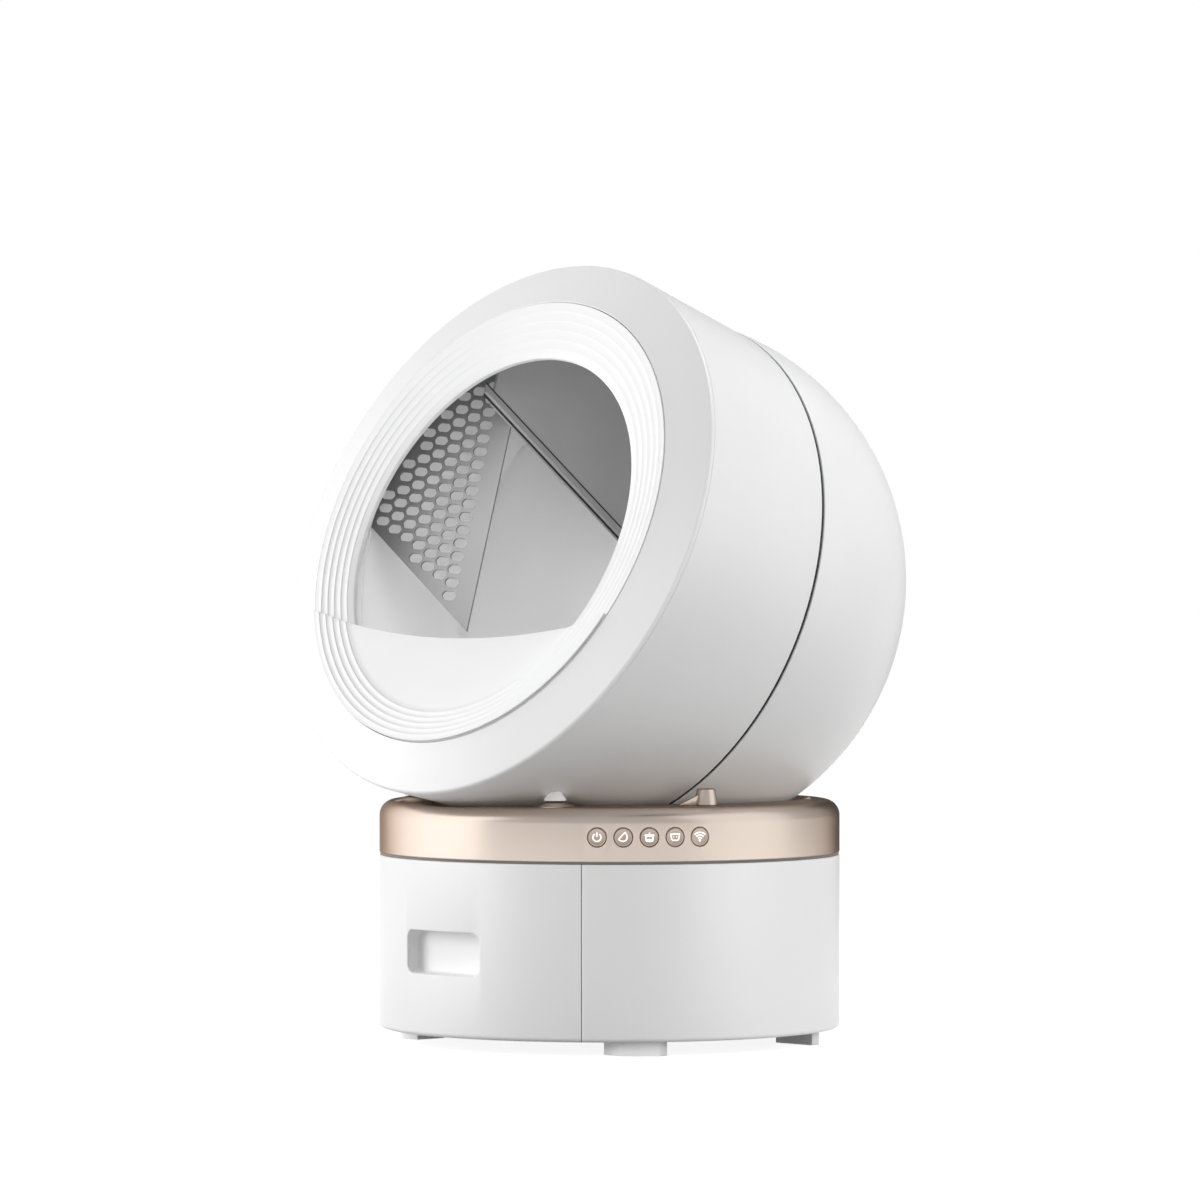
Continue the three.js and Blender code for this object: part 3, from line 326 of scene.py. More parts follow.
def mesh_of(name, shapes):
    """One mesh from one or several (points, faces) in millimetres, welded and facing outward."""
    shapes = shapes if isinstance(shapes, list) else [shapes]
    points, faces, start = [], [], 0
    for shape_points, shape_faces in shapes:
        points.append(shape_points)
        faces += [tuple(start + v for v in face) for face in shape_faces]
        start += len(shape_points)
    mesh = bpy.data.meshes.new(name)
    mesh.from_pydata((np.concatenate(points) * MM).tolist(), [], faces)
    work = bmesh.new()
    work.from_mesh(mesh)
    bmesh.ops.remove_doubles(work, verts=work.verts, dist=WELD * MM)
    bmesh.ops.recalc_face_normals(work, faces=work.faces)
    work.to_mesh(mesh)
    work.free()
    return mesh


def raw(name, shapes):
    """An object of one or several shapes, in the scene but without finish or body yet."""
    made = bpy.data.objects.new(name, mesh_of(name, shapes))
    scene.collection.objects.link(made)
    return made


# %% Cutting, rounding and handing over
def settle(piece):
    """Turns a piece's modifiers into plain mesh."""
    bpy.context.view_layer.update()
    plain = bpy.data.meshes.new_from_object(piece.evaluated_get(bpy.context.evaluated_depsgraph_get()))
    piece.modifiers.clear()
    piece.data = plain
    plain.name = piece.name


def carve(piece, tool, operation="DIFFERENCE", keep=False):
    """Cuts a tool from a piece, or joins or crosses them, and clears the tool away."""
    cut = piece.modifiers.new("carve", "BOOLEAN")
    cut.operation, cut.object, cut.solver = operation, tool, "EXACT"
    settle(piece)
    if not keep:
        bpy.data.objects.remove(tool)


def soften(piece, width, segments=2, angle=30):
    """Rounds a piece's edges that are sharper than the angle."""
    bevel = piece.modifiers.new("soften", "BEVEL")
    bevel.width, bevel.segments = width * MM, segments
    bevel.limit_method, bevel.angle_limit = "ANGLE", math.radians(angle)
    settle(piece)


def dress(piece, body, surface, stands_for=(), sharp=32):
    """Shades a piece smoothly, gives it its finish, and hands it to its body."""
    piece.data.shade_smooth()
    piece.data.set_sharp_from_angle(angle=math.radians(sharp))
    piece.data.materials.clear()
    piece.data.materials.append(surface)
    for face in piece.data.polygons:
        face.material_index = 0
    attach(piece, body)
    if stands_for:
        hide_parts(*stands_for)
    print(piece.name, "on", body, len(piece.data.polygons), "faces")


# %% [markdown]
# ## Hood
# The hood runs from a small rounded edge at the seam to the front rim. Its two ends are circles in two
# frames that lean differently, so it is a skewed cone, and it is short below and long above. A cone cut at
# an angle would have an oval end, so rings between the two circles make it. A second skin inside gives it a
# wall. The seam edge and the rim have a small radius, as moulded shells do.

# %% Hood shell
SEAM_RADIUS, HOOD_START = 240.3, 16.5
RIM_RADIUS, CAP_HEIGHT, SHELL = 253.6, 18.8, 3.5
HOOD_EDGE = ((0, 1.0), (0.0015, 0.45), (0.004, 0.12), (0.01, 0))
HOOD_SHARES = (0.15, 0.3, 0.45, 0.6, 0.75, 0.9, 0.985, 0.998)
RIM_INSET = 0.4


def between(first, last, share, offset=0.0):
    """A ring on the way between two rings, pushed out from its own middle by an offset."""
    middle = first + (last - first) * share
    out = middle - middle.mean(axis=0)
    return middle + out / np.linalg.norm(out, axis=1)[:, None] * offset


seam_ring = ring(DRUM, SEAM_RADIUS, HOOD_START)
rim_ring = ring(FACE, RIM_RADIUS, -CAP_HEIGHT)
hood_rings = [between(seam_ring, rim_ring, share, -inset) for share, inset in HOOD_EDGE]
hood_rings += [between(seam_ring, rim_ring, share) for share in HOOD_SHARES]
hood_rings += [between(seam_ring, rim_ring, 1.0, -RIM_INSET)]
hood_rings += [between(seam_ring, rim_ring, share, -SHELL) for share in (1.0, 0.66, 0.33, 0)]
dress(raw("hood_shell", skin(hood_rings)), "base", WHITE, ["front_hood"])

# %% [markdown]
# ## Rim and ribbed ring
# The rim is a shallow cone between the hood and the ring round the entry. The ring slopes inward and has
# five fine steps, strongest at the bottom and fading to the top. The entry's centre is a little lower than
# the rim's, so the rings shift down as they get smaller. A bump map would fake the steps, but they catch
# light on their edges and show in outline at the guard, so they are real steps. Behind the entry a collar
# leads into the drum.

# %% Rim
RING_RADIUS, LIP_DEPTH, GAP, WALL = 211.2, 6.0, 0.3, 3.0
RIM_ROUND, ROUND_SEAT, ROUND_PAST = 3.2, 0.55, 2
RIM_FLAT, LIP_SOFT_WIDE, LIP_SOFT_DEEP = 12.0, 0.7, 0.9
back = GAP - CAP_HEIGHT
slope = math.atan2(-GAP - back, RIM_RADIUS - RING_RADIUS)
lip = RING_RADIUS + GAP
centre = (RIM_RADIUS - RIM_ROUND, back + RIM_ROUND * math.tan(math.pi / 4 - slope / 4) * ROUND_SEAT)
rim_profile = [(RIM_RADIUS, back)]
rim_profile += arc(RIM_ROUND, centre, 0, 90 - math.degrees(slope) + ROUND_PAST, 7)
rim_profile += [(RING_RADIUS + RIM_FLAT, -GAP - RIM_FLAT * math.tan(slope)), (lip + LIP_SOFT_WIDE, -2 * GAP),
                (lip, -GAP - LIP_SOFT_DEEP), (lip, -LIP_DEPTH - WALL),
                (RING_RADIUS + WALL, -LIP_DEPTH - WALL), (RING_RADIUS + WALL, -WALL - GAP),
                (RIM_RADIUS - SHELL, back)]
dress(raw("rim", turned(FACE, rim_profile)), "base", WHITE, ["rim_cap"])

# %% Ribs on the sloping front
ENTRY_RADIUS, ENTRY_DEPTH, ENTRY_DROP, ENTRY_EDGE = 168.0, 8.5, 8.1, 4.5
RIBS, RIB_HEIGHT, RIB_TOP, RIB_MARGIN = 5, 0.9, 0.12, 0.08
RING_POINTS = 224
RIB_SECTION_SHARES = ((0.075, 0.16), (0.03, 0.72), (0.012, 0.95), (0, 1.0), (-0.008, 0.9), (-0.014, 0.2),
                      (-0.022, 0.02))
OUTER_EDGE = ((0, 0.8), (0.004, 0.25), (0.012, 0))


def fade(turns):
    """How much of the rib's height is left, from 1 at the bottom to a little at the top."""
    return 1 - (1 - RIB_TOP) * np.maximum(0, np.sin(turns))


def face_ring(radius, depth, drop=ENTRY_DROP):
    """A ring in the face's frame, as fine as the ribs and lowered by the entry's drop."""
    return ring(FACE, radius, depth, -drop, full(RING_POINTS))


def on_slope(share, lift, rib=0.0):
    """A ring on the sloping front: share 0 is its outer edge and share 1 the entry."""
    turns = full(RING_POINTS)
    radius = (RING_RADIUS - GAP) + (ENTRY_RADIUS - RING_RADIUS + GAP) * share
    return ring(FACE, radius, lift - ENTRY_DEPTH * share + rib * fade(turns), -ENTRY_DROP * share, turns)


def ribbed(lift):
    """The rings of the ribbed front, a lift above its own slope."""
    rings = [on_slope(share, lift - drop) for share, drop in OUTER_EDGE]
    step = (1 - 2 * RIB_MARGIN) / RIBS
    for i in range(RIBS):
        crest = RIB_MARGIN + (i + 0.5) * step
        rings += [on_slope(crest - back_by, lift, RIB_HEIGHT * height)
                  for back_by, height in RIB_SECTION_SHARES]
    return rings


print("ribs", RIBS, "on rings", len(ribbed(0)))

# %% Ribbed ring and its collar
COLLAR_RADIUS, COLLAR_FRONT, ENTRY_SOFT, ENTRY_STEP = 212.0, 145.0, 0.6, 1.0
COLLAR_SHARES = (0.03, 0.35, 0.7, 1.0)
entry_back = -ENTRY_DEPTH - ENTRY_EDGE
lip_inside = RING_RADIUS - GAP
entry_edge = face_ring(ENTRY_RADIUS + ENTRY_SOFT, entry_back)
drum_mouth = ring(DRUM, COLLAR_RADIUS, COLLAR_FRONT, turns=full(RING_POINTS))
ring_rings = ribbed(0) + [on_slope(0.985, 0), on_slope(0.996, -GAP)]
ring_rings += [face_ring(ENTRY_RADIUS, -ENTRY_DEPTH - ENTRY_STEP)]
ring_rings += [face_ring(ENTRY_RADIUS, entry_back + ENTRY_SOFT)]
ring_rings += [entry_edge] + [between(entry_edge, drum_mouth, share) for share in COLLAR_SHARES]
ring_rings += [ring(DRUM, COLLAR_RADIUS + WALL, COLLAR_FRONT + WALL, turns=full(RING_POINTS)),
               face_ring(ENTRY_RADIUS + ENTRY_EDGE, -ENTRY_DEPTH - ENTRY_EDGE / 2),
               face_ring(lip_inside - WALL, -WALL, 0), face_ring(lip_inside - WALL, -LIP_DEPTH, 0),
               face_ring(lip_inside, -LIP_DEPTH, 0)]
dress(raw("ribbed_ring", skin(ring_rings)), "base", WHITE, ["entry_ring"])

# %% [markdown]
# ## Litter guard
# A crescent lies over the lower part of the ring and keeps litter in. It repeats the ring's ribs, a step
# further forward, and its upper edge is a long shallow curve. Drawn as an outline of its own, its ribs would
# have to be matched to the ring's. So it is the same ribbed skin, made solid and crossed with that curve.

# %% Guard
GUARD_PROUD, GUARD_CORE, GUARD_ROUND = 3.0, 90.0, 0.6
GUARD_HALF, GUARD_END, GUARD_MIDDLE = 185.0, 90.0, 111.0
GUARD_PAST, CUT_REACH = 20.0, 30.0
rib_back = RIB_HEIGHT + GAP
guard_rings = [face_ring(GUARD_CORE, GUARD_PROUD - ENTRY_DEPTH), on_slope(1, GUARD_PROUD)]
guard_rings += ribbed(GUARD_PROUD)[::-1]
guard_rings += [on_slope(0, rib_back), on_slope(1, rib_back), face_ring(GUARD_CORE, rib_back - ENTRY_DEPTH)]
guard = raw("guard", skin(guard_rings, closed=False))
sag = GUARD_MIDDLE - GUARD_END
edge_radius = (GUARD_HALF ** 2 + sag ** 2) / (2 * sag)
reach = RING_RADIUS + GUARD_PAST
half_turn = math.degrees(math.asin(reach / edge_radius))
edge_line = arc(edge_radius, (0, edge_radius - GUARD_MIDDLE), -90 - half_turn, -90 + half_turn, 80)
below_edge = prism(FACE, edge_line + [(reach, -reach), (-reach, -reach)], -CUT_REACH, CUT_REACH)
carve(guard, raw("guard_outline", below_edge), "INTERSECT")
soften(guard, GUARD_ROUND, angle=55)
dress(guard, "guard", WHITE, ["entry_guard"])

# %% [markdown]
# ## Tab on top of the rim
# A small pad stands 2.8 mm proud of the hood at its highest point, close behind the rim, where the hood's
# catch is. It follows the hood's curve, so it is made as a patch of the hood's own skin, lifted in the
# middle and let down at its edges.

# %% Tab
TAB_WIDTH, TAB_LENGTH, TAB_INSET, TAB_HEIGHT = 30.0, 16.0, 3.0, 2.8
TAB_ROUND, TAB_DROP, TAB_COLUMNS, TAB_ROWS = 1.6, 1.5, 25, 17


def tab_patch(lift, drop):
    """Rows of points over the tab, lift above the hood and let down near the edges by drop."""
    half = math.degrees(TAB_WIDTH / 2 / RIM_RADIUS)
    turns = span(90 - half, 90 + half, TAB_COLUMNS)
    seam = ring(DRUM, SEAM_RADIUS, HOOD_START, turns=turns)
    rim_edge = ring(FACE, RIM_RADIUS, -CAP_HEIGHT, turns=turns)
    length = np.linalg.norm(seam[TAB_COLUMNS // 2] - rim_edge[TAB_COLUMNS // 2])
    up = DRUM[:3, 1] + FACE[:3, 1]
    across = 1 - np.abs(np.linspace(-1, 1, TAB_COLUMNS))
    rows = []
    for t in np.linspace(0, 1, TAB_ROWS):
        share = 1 - (TAB_INSET + TAB_LENGTH * t) / length
        along = 1 - abs(2 * t - 1)
        near = np.minimum(along * TAB_LENGTH / 2, across * TAB_WIDTH / 2)
        height = lift - drop * np.clip(1 - near / TAB_ROUND, 0, 1) ** 2
        rows.append(seam + (rim_edge - seam) * share + np.outer(height, up / np.linalg.norm(up)))
    return rows


upper, lower = tab_patch(TAB_HEIGHT, TAB_DROP), tab_patch(GAP, 0)
tab = raw("top_pad", skin([np.concatenate([a, b[::-1]]) for a, b in zip(upper, lower)], closed=False))
dress(tab, "base", WHITE, ["top_tab"], sharp=50)

# %% [markdown]
# ## Drum
# Behind the seam the drum shows as a white half ball with a rounded edge. A black ring in the seam is painted
# shade that makes the seam read as a black line. A round port in the ball, up at the back, is where waste
# leaves when the drum has turned, and a shutter inside covers it. Inside are a pale liner and a straight
# barrel. A ball primitive would have no wall and no edge, so each shell is a profile of its own, turned about
# the axis.

# %% Half ball
DOME_RADIUS, DOME_EDGE, FLANGE_RADIUS = 240.8, 13.5, 226.0
DOME_SHOULDER, DOME_ROUND = 1.6, ((0.45, 0.6), (1.2, 0.12), (2.2, 0))
PORT_ROUND = 0.8
PORT_ANGLE, PORT_RADIUS = 135.0, 55.0


def meridian(radius, edge, count=48):
    """Profile of a ball from its rear pole up to a height."""
    return arc(radius, (0, 0), -90, math.degrees(math.asin(edge / radius)), count)


def frame_along(where, place, direction, axis):
    """A frame at a place, with Z along a direction and X near an axis, both in the given frame."""
    z = np.array(direction, float) / np.linalg.norm(direction)
    y = np.cross(z, axis)
    y /= np.linalg.norm(y)
    return where @ frame_of(np.cross(y, z), y, z, place)


def around(angle, radius, height):
    """A place in the drum's frame: the angle goes from straight down towards +X."""
    t = math.radians(angle)
    return np.array([radius * math.sin(t), -radius * math.cos(t), height])


lean = math.radians(DRUM_TILT)
port_axis = around(-PORT_ANGLE, math.cos(lean), -math.sin(lean))
PORT = frame_along(DRUM, port_axis * DOME_RADIUS, port_axis, (0, 0, 1))


def port_tool():
    """What cuts the round port from the ball and from the liner."""
    return raw("port_tool", spun(PORT, [(PORT_RADIUS, -CUT_REACH), (PORT_RADIUS, CUT_REACH)]))


dome_profile = meridian(DOME_RADIUS, DOME_EDGE - DOME_SHOULDER)
dome_profile += [(DOME_RADIUS - inset, DOME_EDGE - drop) for inset, drop in DOME_ROUND]
dome_profile += [(FLANGE_RADIUS, DOME_EDGE), (FLANGE_RADIUS, DOME_EDGE - WALL)]
dome_profile += meridian(DOME_RADIUS - SHELL, DOME_EDGE - WALL, 36)[::-1]
dome = raw("drum_ball", turned(DRUM, dome_profile))
carve(dome, port_tool())
soften(dome, PORT_ROUND, angle=50)
dress(dome, "drum", WHITE, ["rear_dome"])

# %% Black ring in the seam, painted shade
SEAM_SHADE_INNER, SEAM_SHADE_OUTER, SEAM_SHADE_INSET, SEAM_SHADE_EDGE = 235.0, 239.5, 0.4, 0.5
seam_shade_low, seam_shade_high = DOME_EDGE + GAP, HOOD_START - GAP
seam_shade_profile = [(SEAM_SHADE_INNER, seam_shade_low), (SEAM_SHADE_OUTER - SEAM_SHADE_INSET, seam_shade_low),
                (SEAM_SHADE_OUTER, seam_shade_low + SEAM_SHADE_EDGE), (SEAM_SHADE_OUTER, seam_shade_high - SEAM_SHADE_EDGE),
                (SEAM_SHADE_OUTER - SEAM_SHADE_INSET, seam_shade_high), (SEAM_SHADE_INNER, seam_shade_high)]
dress(raw("seam_painted_shade", turned(DRUM, seam_shade_profile)), "drum", PAINTED_SHADE)

# %% Liner
SHUTTER_GAP, SHUTTER_WALL, THIN = 0.95, 2.4, 2.5
shutter_outer = DOME_RADIUS - SHELL - SHUTTER_GAP
liner_outer = shutter_outer - SHUTTER_WALL - SHUTTER_GAP
liner_inner = liner_outer - THIN
liner_edge = DOME_EDGE - WALL - GAP
liner_profile = meridian(liner_outer, liner_edge) + meridian(liner_inner, liner_edge)[::-1]
liner = raw("drum_liner", turned(DRUM, liner_profile))
carve(liner, port_tool())
dress(liner, "drum", LINER, ["dome_liner"])

# %% Barrel
BARREL_RADIUS, BARREL_FLANGE, BARREL_FRONT, BARREL_LIP, LIP_SLOPE = 222.3, 234.5, 142.5, 215.0, 4.0
BARREL_SOFT, LIP_TAPER = 1.0, 0.3
barrel_back, barrel_inner, lip_back = DOME_EDGE + GAP, BARREL_RADIUS - WALL, BARREL_FRONT - WALL
barrel_profile = [(BARREL_FLANGE, barrel_back), (BARREL_FLANGE, barrel_back + WALL),
                  (BARREL_RADIUS, barrel_back + WALL), (BARREL_RADIUS, BARREL_FRONT - BARREL_SOFT),
                  (BARREL_RADIUS - BARREL_SOFT, BARREL_FRONT), (BARREL_LIP + BARREL_SOFT, BARREL_FRONT),
                  (BARREL_LIP, BARREL_FRONT - BARREL_SOFT), (BARREL_LIP + LIP_TAPER, lip_back),
                  (barrel_inner, lip_back - LIP_SLOPE), (barrel_inner, barrel_back)]
dress(raw("drum_barrel_shell", turned(DRUM, barrel_profile)), "drum", LINER, ["drum_barrel"])

# %% [markdown]
# ## Panel and sieve inside the drum
# A dark flat panel crosses the upper part of the drum. Its straight lower edge carries a ridge, and at the
# left it meets a sieve with rows of six sided holes that lets clean litter fall back. Fitting their outlines
# to ball and barrel by hand would leave gaps. So both start too large and are cut by the drum's own inside.
# The tool for that is made first and kept until the last use.

# %% Inside of the drum
DIVIDER_X = 103.0
REAR_REACH, REAR_LEVEL, FRONT_REACH, FRONT_LEVEL, LIP_HEIGHT = 89.0, 40.5, 130.0, 127.7, 12.5
SIEVE_START, SIEVE_END_X, SIEVE_END_REACH, SIEVE_END_LEVEL = 100.0, 214.0, 142.0, 8.5
SIEVE_FOOT, SIEVE_TOP = 77.0, 160.0
INNER_GAP, OVERLAP = 0.6, 20.0
SIDEWAYS = frame_of((0, 0, 1), (0, 1, 0), (-1, 0, 0))


def drum_inside():
    """The free space inside the drum as one solid: the ball and the barrel, less a gap."""
    ball = meridian(liner_inner - INNER_GAP, liner_edge - INNER_GAP, 30) + [(0, liner_edge - INNER_GAP)]
    made = raw("drum_inside", spun(DRUM, ball))
    wide, narrow, step = barrel_inner - INNER_GAP, BARREL_LIP - INNER_GAP, lip_back - LIP_SLOPE
    tube = [(wide, barrel_back - OVERLAP), (wide, step), (narrow, step), (narrow, BARREL_FRONT)]
    carve(made, raw("drum_tube", spun(DRUM, tube)), "UNION")
    return made


inside = drum_inside()
print("inside of the drum", len(inside.data.polygons), "faces")

# %% Divider
at_side = DRUM @ SIDEWAYS
rear, front = (-REAR_REACH, REAR_LEVEL), (FRONT_REACH, FRONT_LEVEL)
plate = [(-DOME_RADIUS, REAR_LEVEL), rear, front, (FRONT_REACH, BARREL_RADIUS), (-DOME_RADIUS, BARREL_RADIUS)]
divider = raw("divider", prism(at_side, plate, DIVIDER_X - WALL, DIVIDER_X))
carve(divider, inside, "INTERSECT", keep=True)
dress(divider, "drum", PANEL, ["divider_panel"])

# %% Ridge along the divider's edge, with a black line of painted shade above and below it
LINE, RIDGE, BAR_PAST = 1.7, 2.5, 30.0
bar_length = math.hypot(front[0] - rear[0], front[1] - rear[1])
way = ((front[0] - rear[0]) / bar_length, (front[1] - rear[1]) / bar_length)
bar_frame = at_side @ frame_of((*way, 0), (-way[1], way[0], 0), (0, 0, 1), (*rear, DIVIDER_X - WALL))
bar_width = LIP_HEIGHT * way[0]
bar_top = bar_width - LINE
ridge = [(LINE, 0), (LINE, -1.6), (LINE * 2.2, -RIDGE), (bar_top * 0.75, -RIDGE * 0.6), (bar_top, -0.7),
         (bar_top, 0)]
upper_line = [(bar_top, 0), (bar_top, -0.5), (bar_width, -0.4), (bar_width, 0)]
lower_line = [(0, 0), (0, -1.0), (LINE, -1.4), (LINE, 0)]


def along_edge(name, section, surface):
    """A strip along the divider's edge with a small section [up, out], ended by the drum's inside."""
    ends = [np.array([(bar_frame @ (x, up, out, 1))[:3] for up, out in section])
            for x in (-DOME_RADIUS / 2, bar_length + BAR_PAST)]
    made = raw(name, skin(ends, closed=False))
    carve(made, inside, "INTERSECT", keep=True)
    dress(made, "drum", surface)


along_edge("divider_bar", ridge, PANEL)
# The black strips in the crease above the ridge and under its lower edge are painted shade.
along_edge("divider_crease_shade", upper_line, PAINTED_SHADE)
along_edge("divider_gap_shade", lower_line, PAINTED_SHADE)

# %% Sieve without its holes
sieve_start = np.array([-DIVIDER_X - GAP, 0, SIEVE_START])
sieve_run = np.array([-SIEVE_END_X, 0, SIEVE_END_REACH]) - sieve_start
run = np.linalg.norm(sieve_run)
run_way = sieve_run / run
SIEVE = DRUM @ frame_of(run_way, (0, 1, 0), np.cross(run_way, (0, 1, 0)), sieve_start)
outline = [(0, -SIEVE_FOOT), (run, SIEVE_END_LEVEL), (run, BARREL_RADIUS), (0, BARREL_RADIUS)]
sieve = raw("sieve", prism(SIEVE, outline, 0, THIN))
slant = (SIEVE_END_LEVEL + SIEVE_FOOT) / run
print("sieve runs", round(float(run), 1))

# %% Six sided holes
HOLE_WIDTH, HOLE_FLAT, HOLE_HEIGHT, HOLE_INSET, HOLE_LEVEL = 7.6, 4.9, 4.3, 9.6, 15.8
PITCH_X, PITCH_Y, HOLE_MARGIN, EDGE_WEB, HOLE_CUT = 13.9, 12.4, 12.0, 4.0, 5.0
CORNER_CUT, CORNER_PULL = 0.26, 0.08
HOLE_ROWS = range(-10, 14)


def hole_outline(x, y):
    """A wide six sided hole with small round corners."""
    upper_half = [(HOLE_WIDTH, 0), (HOLE_FLAT, HOLE_HEIGHT), (-HOLE_FLAT, HOLE_HEIGHT)]
    corners = np.array(upper_half + [(-a, -b) for a, b in upper_half])
    line = []
    for k, a in enumerate(corners):
        before, after = corners[k - 1] - a, corners[(k + 1) % 6] - a
        line += [a + before * CORNER_CUT, a + (before + after) * CORNER_PULL, a + after * CORNER_CUT]
    return [(x + p[0], y + p[1]) for p in line]


def hole_fits(x, y):
    """Whether a hole leaves a web to the sieve's slanting foot and to the barrel."""
    above_foot = y - HOLE_HEIGHT > slant * (x + HOLE_FLAT) - SIEVE_FOOT + EDGE_WEB
    lean_share = (SIEVE_END_X - DIVIDER_X) / run
    far_corner = math.hypot(DIVIDER_X + (x + HOLE_WIDTH) * lean_share, abs(y) + HOLE_HEIGHT)
    return above_foot and far_corner < barrel_inner - EDGE_WEB / 2 and y < SIEVE_TOP


holes = []
column = 0
while run - HOLE_INSET - column * PITCH_X > HOLE_MARGIN:
    x = run - HOLE_INSET - column * PITCH_X
    levels = [HOLE_LEVEL + (row + column % 2 / 2) * PITCH_Y for row in HOLE_ROWS]
    holes += [prism(SIEVE, hole_outline(x, y), -HOLE_CUT, HOLE_CUT + THIN) for y in levels if hole_fits(x, y)]
    column += 1
carve(sieve, raw("sieve_holes", holes))
carve(sieve, inside, "INTERSECT")
dress(sieve, "drum", SIEVE_GREY, ["sieve_plate"])
print("sieve holes", len(holes))

# %% [markdown]
# ## Ring of the base
# The champagne ring is a wide flat band with a rounded top edge. Its deck is dished round the drum and the
# hood with 5 mm to spare. No single turned profile has that dish, because the drum leans and the ring
# doesn't. So it starts as a turned blank, and the space that the drum takes, grown by that clearance, is cut
# from it. Pockets under the deck take the rear rollers, two pads steady the hood, two low humps carry its
# white feet, and five buttons sit in grooves.

# %% The space that drum and hood take
BODY_TOP, RING_BOTTOM, RING_TOP, RING_FILLET, RING_SOFT = 168.0, 170.5, 217.5, 14.0, 0.6
CLEAR, BALL_TOP = 5.0, 60.0
SPACE_HALF, SPACE_LOW, SPACE_HIGH = 400.0, 100.0, 330.0


def box_shape(where, size, centre):
    """A block in a frame, from its size and its middle."""
    half = np.array(size) / 2
    square = [(centre[0] + a * half[0], centre[1] + b * half[1]) for a, b in SQUARE]
    return prism(where, square, centre[2] - half[2], centre[2] + half[2])


def drum_space(growth):
    """The ball and the hood as one solid, grown all round."""
    ball = raw("space", spun(DRUM, meridian(DOME_RADIUS + growth, BALL_TOP, 40)))
    keep = box_shape(UPRIGHT, (2 * SPACE_HALF, 2 * SPACE_HALF, SPACE_HIGH - SPACE_LOW),
                     (0, 0, (SPACE_LOW + SPACE_HIGH) / 2))
    carve(ball, raw("below", keep), "INTERSECT")
    seam = ring(DRUM, SEAM_RADIUS + growth, HOOD_START)
    rim_edge = ring(FACE, RIM_RADIUS + growth, -CAP_HEIGHT)
    carve(ball, raw("hood_space", skin([seam, rim_edge], closed=False)), "UNION")
    return ball


def blank(grow):
    """The ring before its deck is cut, or with grow what makes it hollow."""
    radius, top, low = BASE_RADIUS - grow, RING_TOP - grow, RING_BOTTOM - (OVERLAP if grow else 0)
    edge = [(radius, low)] if grow else [(radius - RING_SOFT, low), (radius, low + RING_SOFT)]
    fillet = arc(RING_FILLET - grow, (radius - RING_FILLET + grow, top - RING_FILLET + grow), 0, 90, 14)
    return raw("blank", spun(UPRIGHT, edge + fillet))


def place_at(x, y, z):
    """An upright frame at a place from the middle of the base."""
    return UPRIGHT @ frame_of((1, 0, 0), (0, 1, 0), (0, 0, 1), (x, y, z))


# %% Ring and its dished deck
THROAT_RADIUS, THROAT_TOP, BLANK_WALL = 70.0, 300.0, 3.0
top_ring = blank(0)
hollow = blank(BLANK_WALL)
carve(hollow, drum_space(CLEAR + BLANK_WALL))
carve(top_ring, hollow)
carve(top_ring, drum_space(CLEAR))
throat = spun(place_at(0, DRUM_BACK, 0), [(THROAT_RADIUS, SPACE_LOW), (THROAT_RADIUS, THROAT_TOP)])
carve(top_ring, raw("throat", throat))
print("ring after the deck", len(top_ring.data.polygons))

# %% Tongue that centres the ring on the body, and the ring's own foot
DRAWER_HALF, TONGUE_END, TONGUE_DEPTH, FOOT_INSET = 40.0, 1.0, 7.0, 1.5
tongue_out = BASE_RADIUS - WALL - GAP


def band(inner, outer, low, high):
    """The square profile of a flat band."""
    return [(inner, low), (outer, low), (outer, high), (inner, high)]


behind_drawer = span(-90 + DRAWER_HALF + TONGUE_END, 270 - DRAWER_HALF - TONGUE_END, 120)
tongue = band(tongue_out - THIN, tongue_out, RING_BOTTOM - TONGUE_DEPTH, RING_BOTTOM + WALL)
carve(top_ring, raw("tongue", turned(UPRIGHT, tongue, behind_drawer)), "UNION")
ring_foot = band(tongue_out - THIN, BASE_RADIUS - FOOT_INSET, RING_BOTTOM, RING_BOTTOM + WALL)
carve(top_ring, raw("ring_foot", turned(UPRIGHT, ring_foot)), "UNION")
print("ring with its foot", len(top_ring.data.polygons))

# %% Grey strip in the joint between ring and body, painted shade of the gap
JOINT_INSET, JOINT_LOW, JOINT_SEAT = 0.7, 0.15, 0.05
joint_inner, joint_outer = tongue_out + JOINT_SEAT, BASE_RADIUS - JOINT_INSET
joint = band(joint_inner, joint_outer, BODY_TOP + JOINT_LOW, RING_BOTTOM - JOINT_SEAT)
dress(raw("joint_painted_shade", turned(UPRIGHT, joint)), "base", JOINT_SHADE)

# %% Pockets for the rear rollers
ROLLER_RADIUS, ROLLER_WIDTH, ROLLER_BACK, ROLLER_GAP, ROLLER_ANGLE = 12.0, 12.0, 130.0, 0.4, 33.0
YOKE_MARGIN, POCKET_RISE, POCKET_CUT = 1.5, 5.0, 20.0
YOKE_WIDTH = ROLLER_WIDTH + 2 * ROLLER_GAP + 2 * THIN
YOKE_LENGTH = 2 * (ROLLER_RADIUS + YOKE_MARGIN)
SIDES = (("left", -1), ("right", 1))


def pocket(where, grow, high):
    """A block round a roller's yoke, grown a little and risen towards the drum."""
    bottom = ROLLER_RADIUS + ROLLER_GAP + WALL + grow
    size = (YOKE_WIDTH + 2 * grow, YOKE_LENGTH + 2 * grow, bottom + high)
    return raw("pocket", box_shape(where, size, (0, 0, (bottom - high) / 2)))


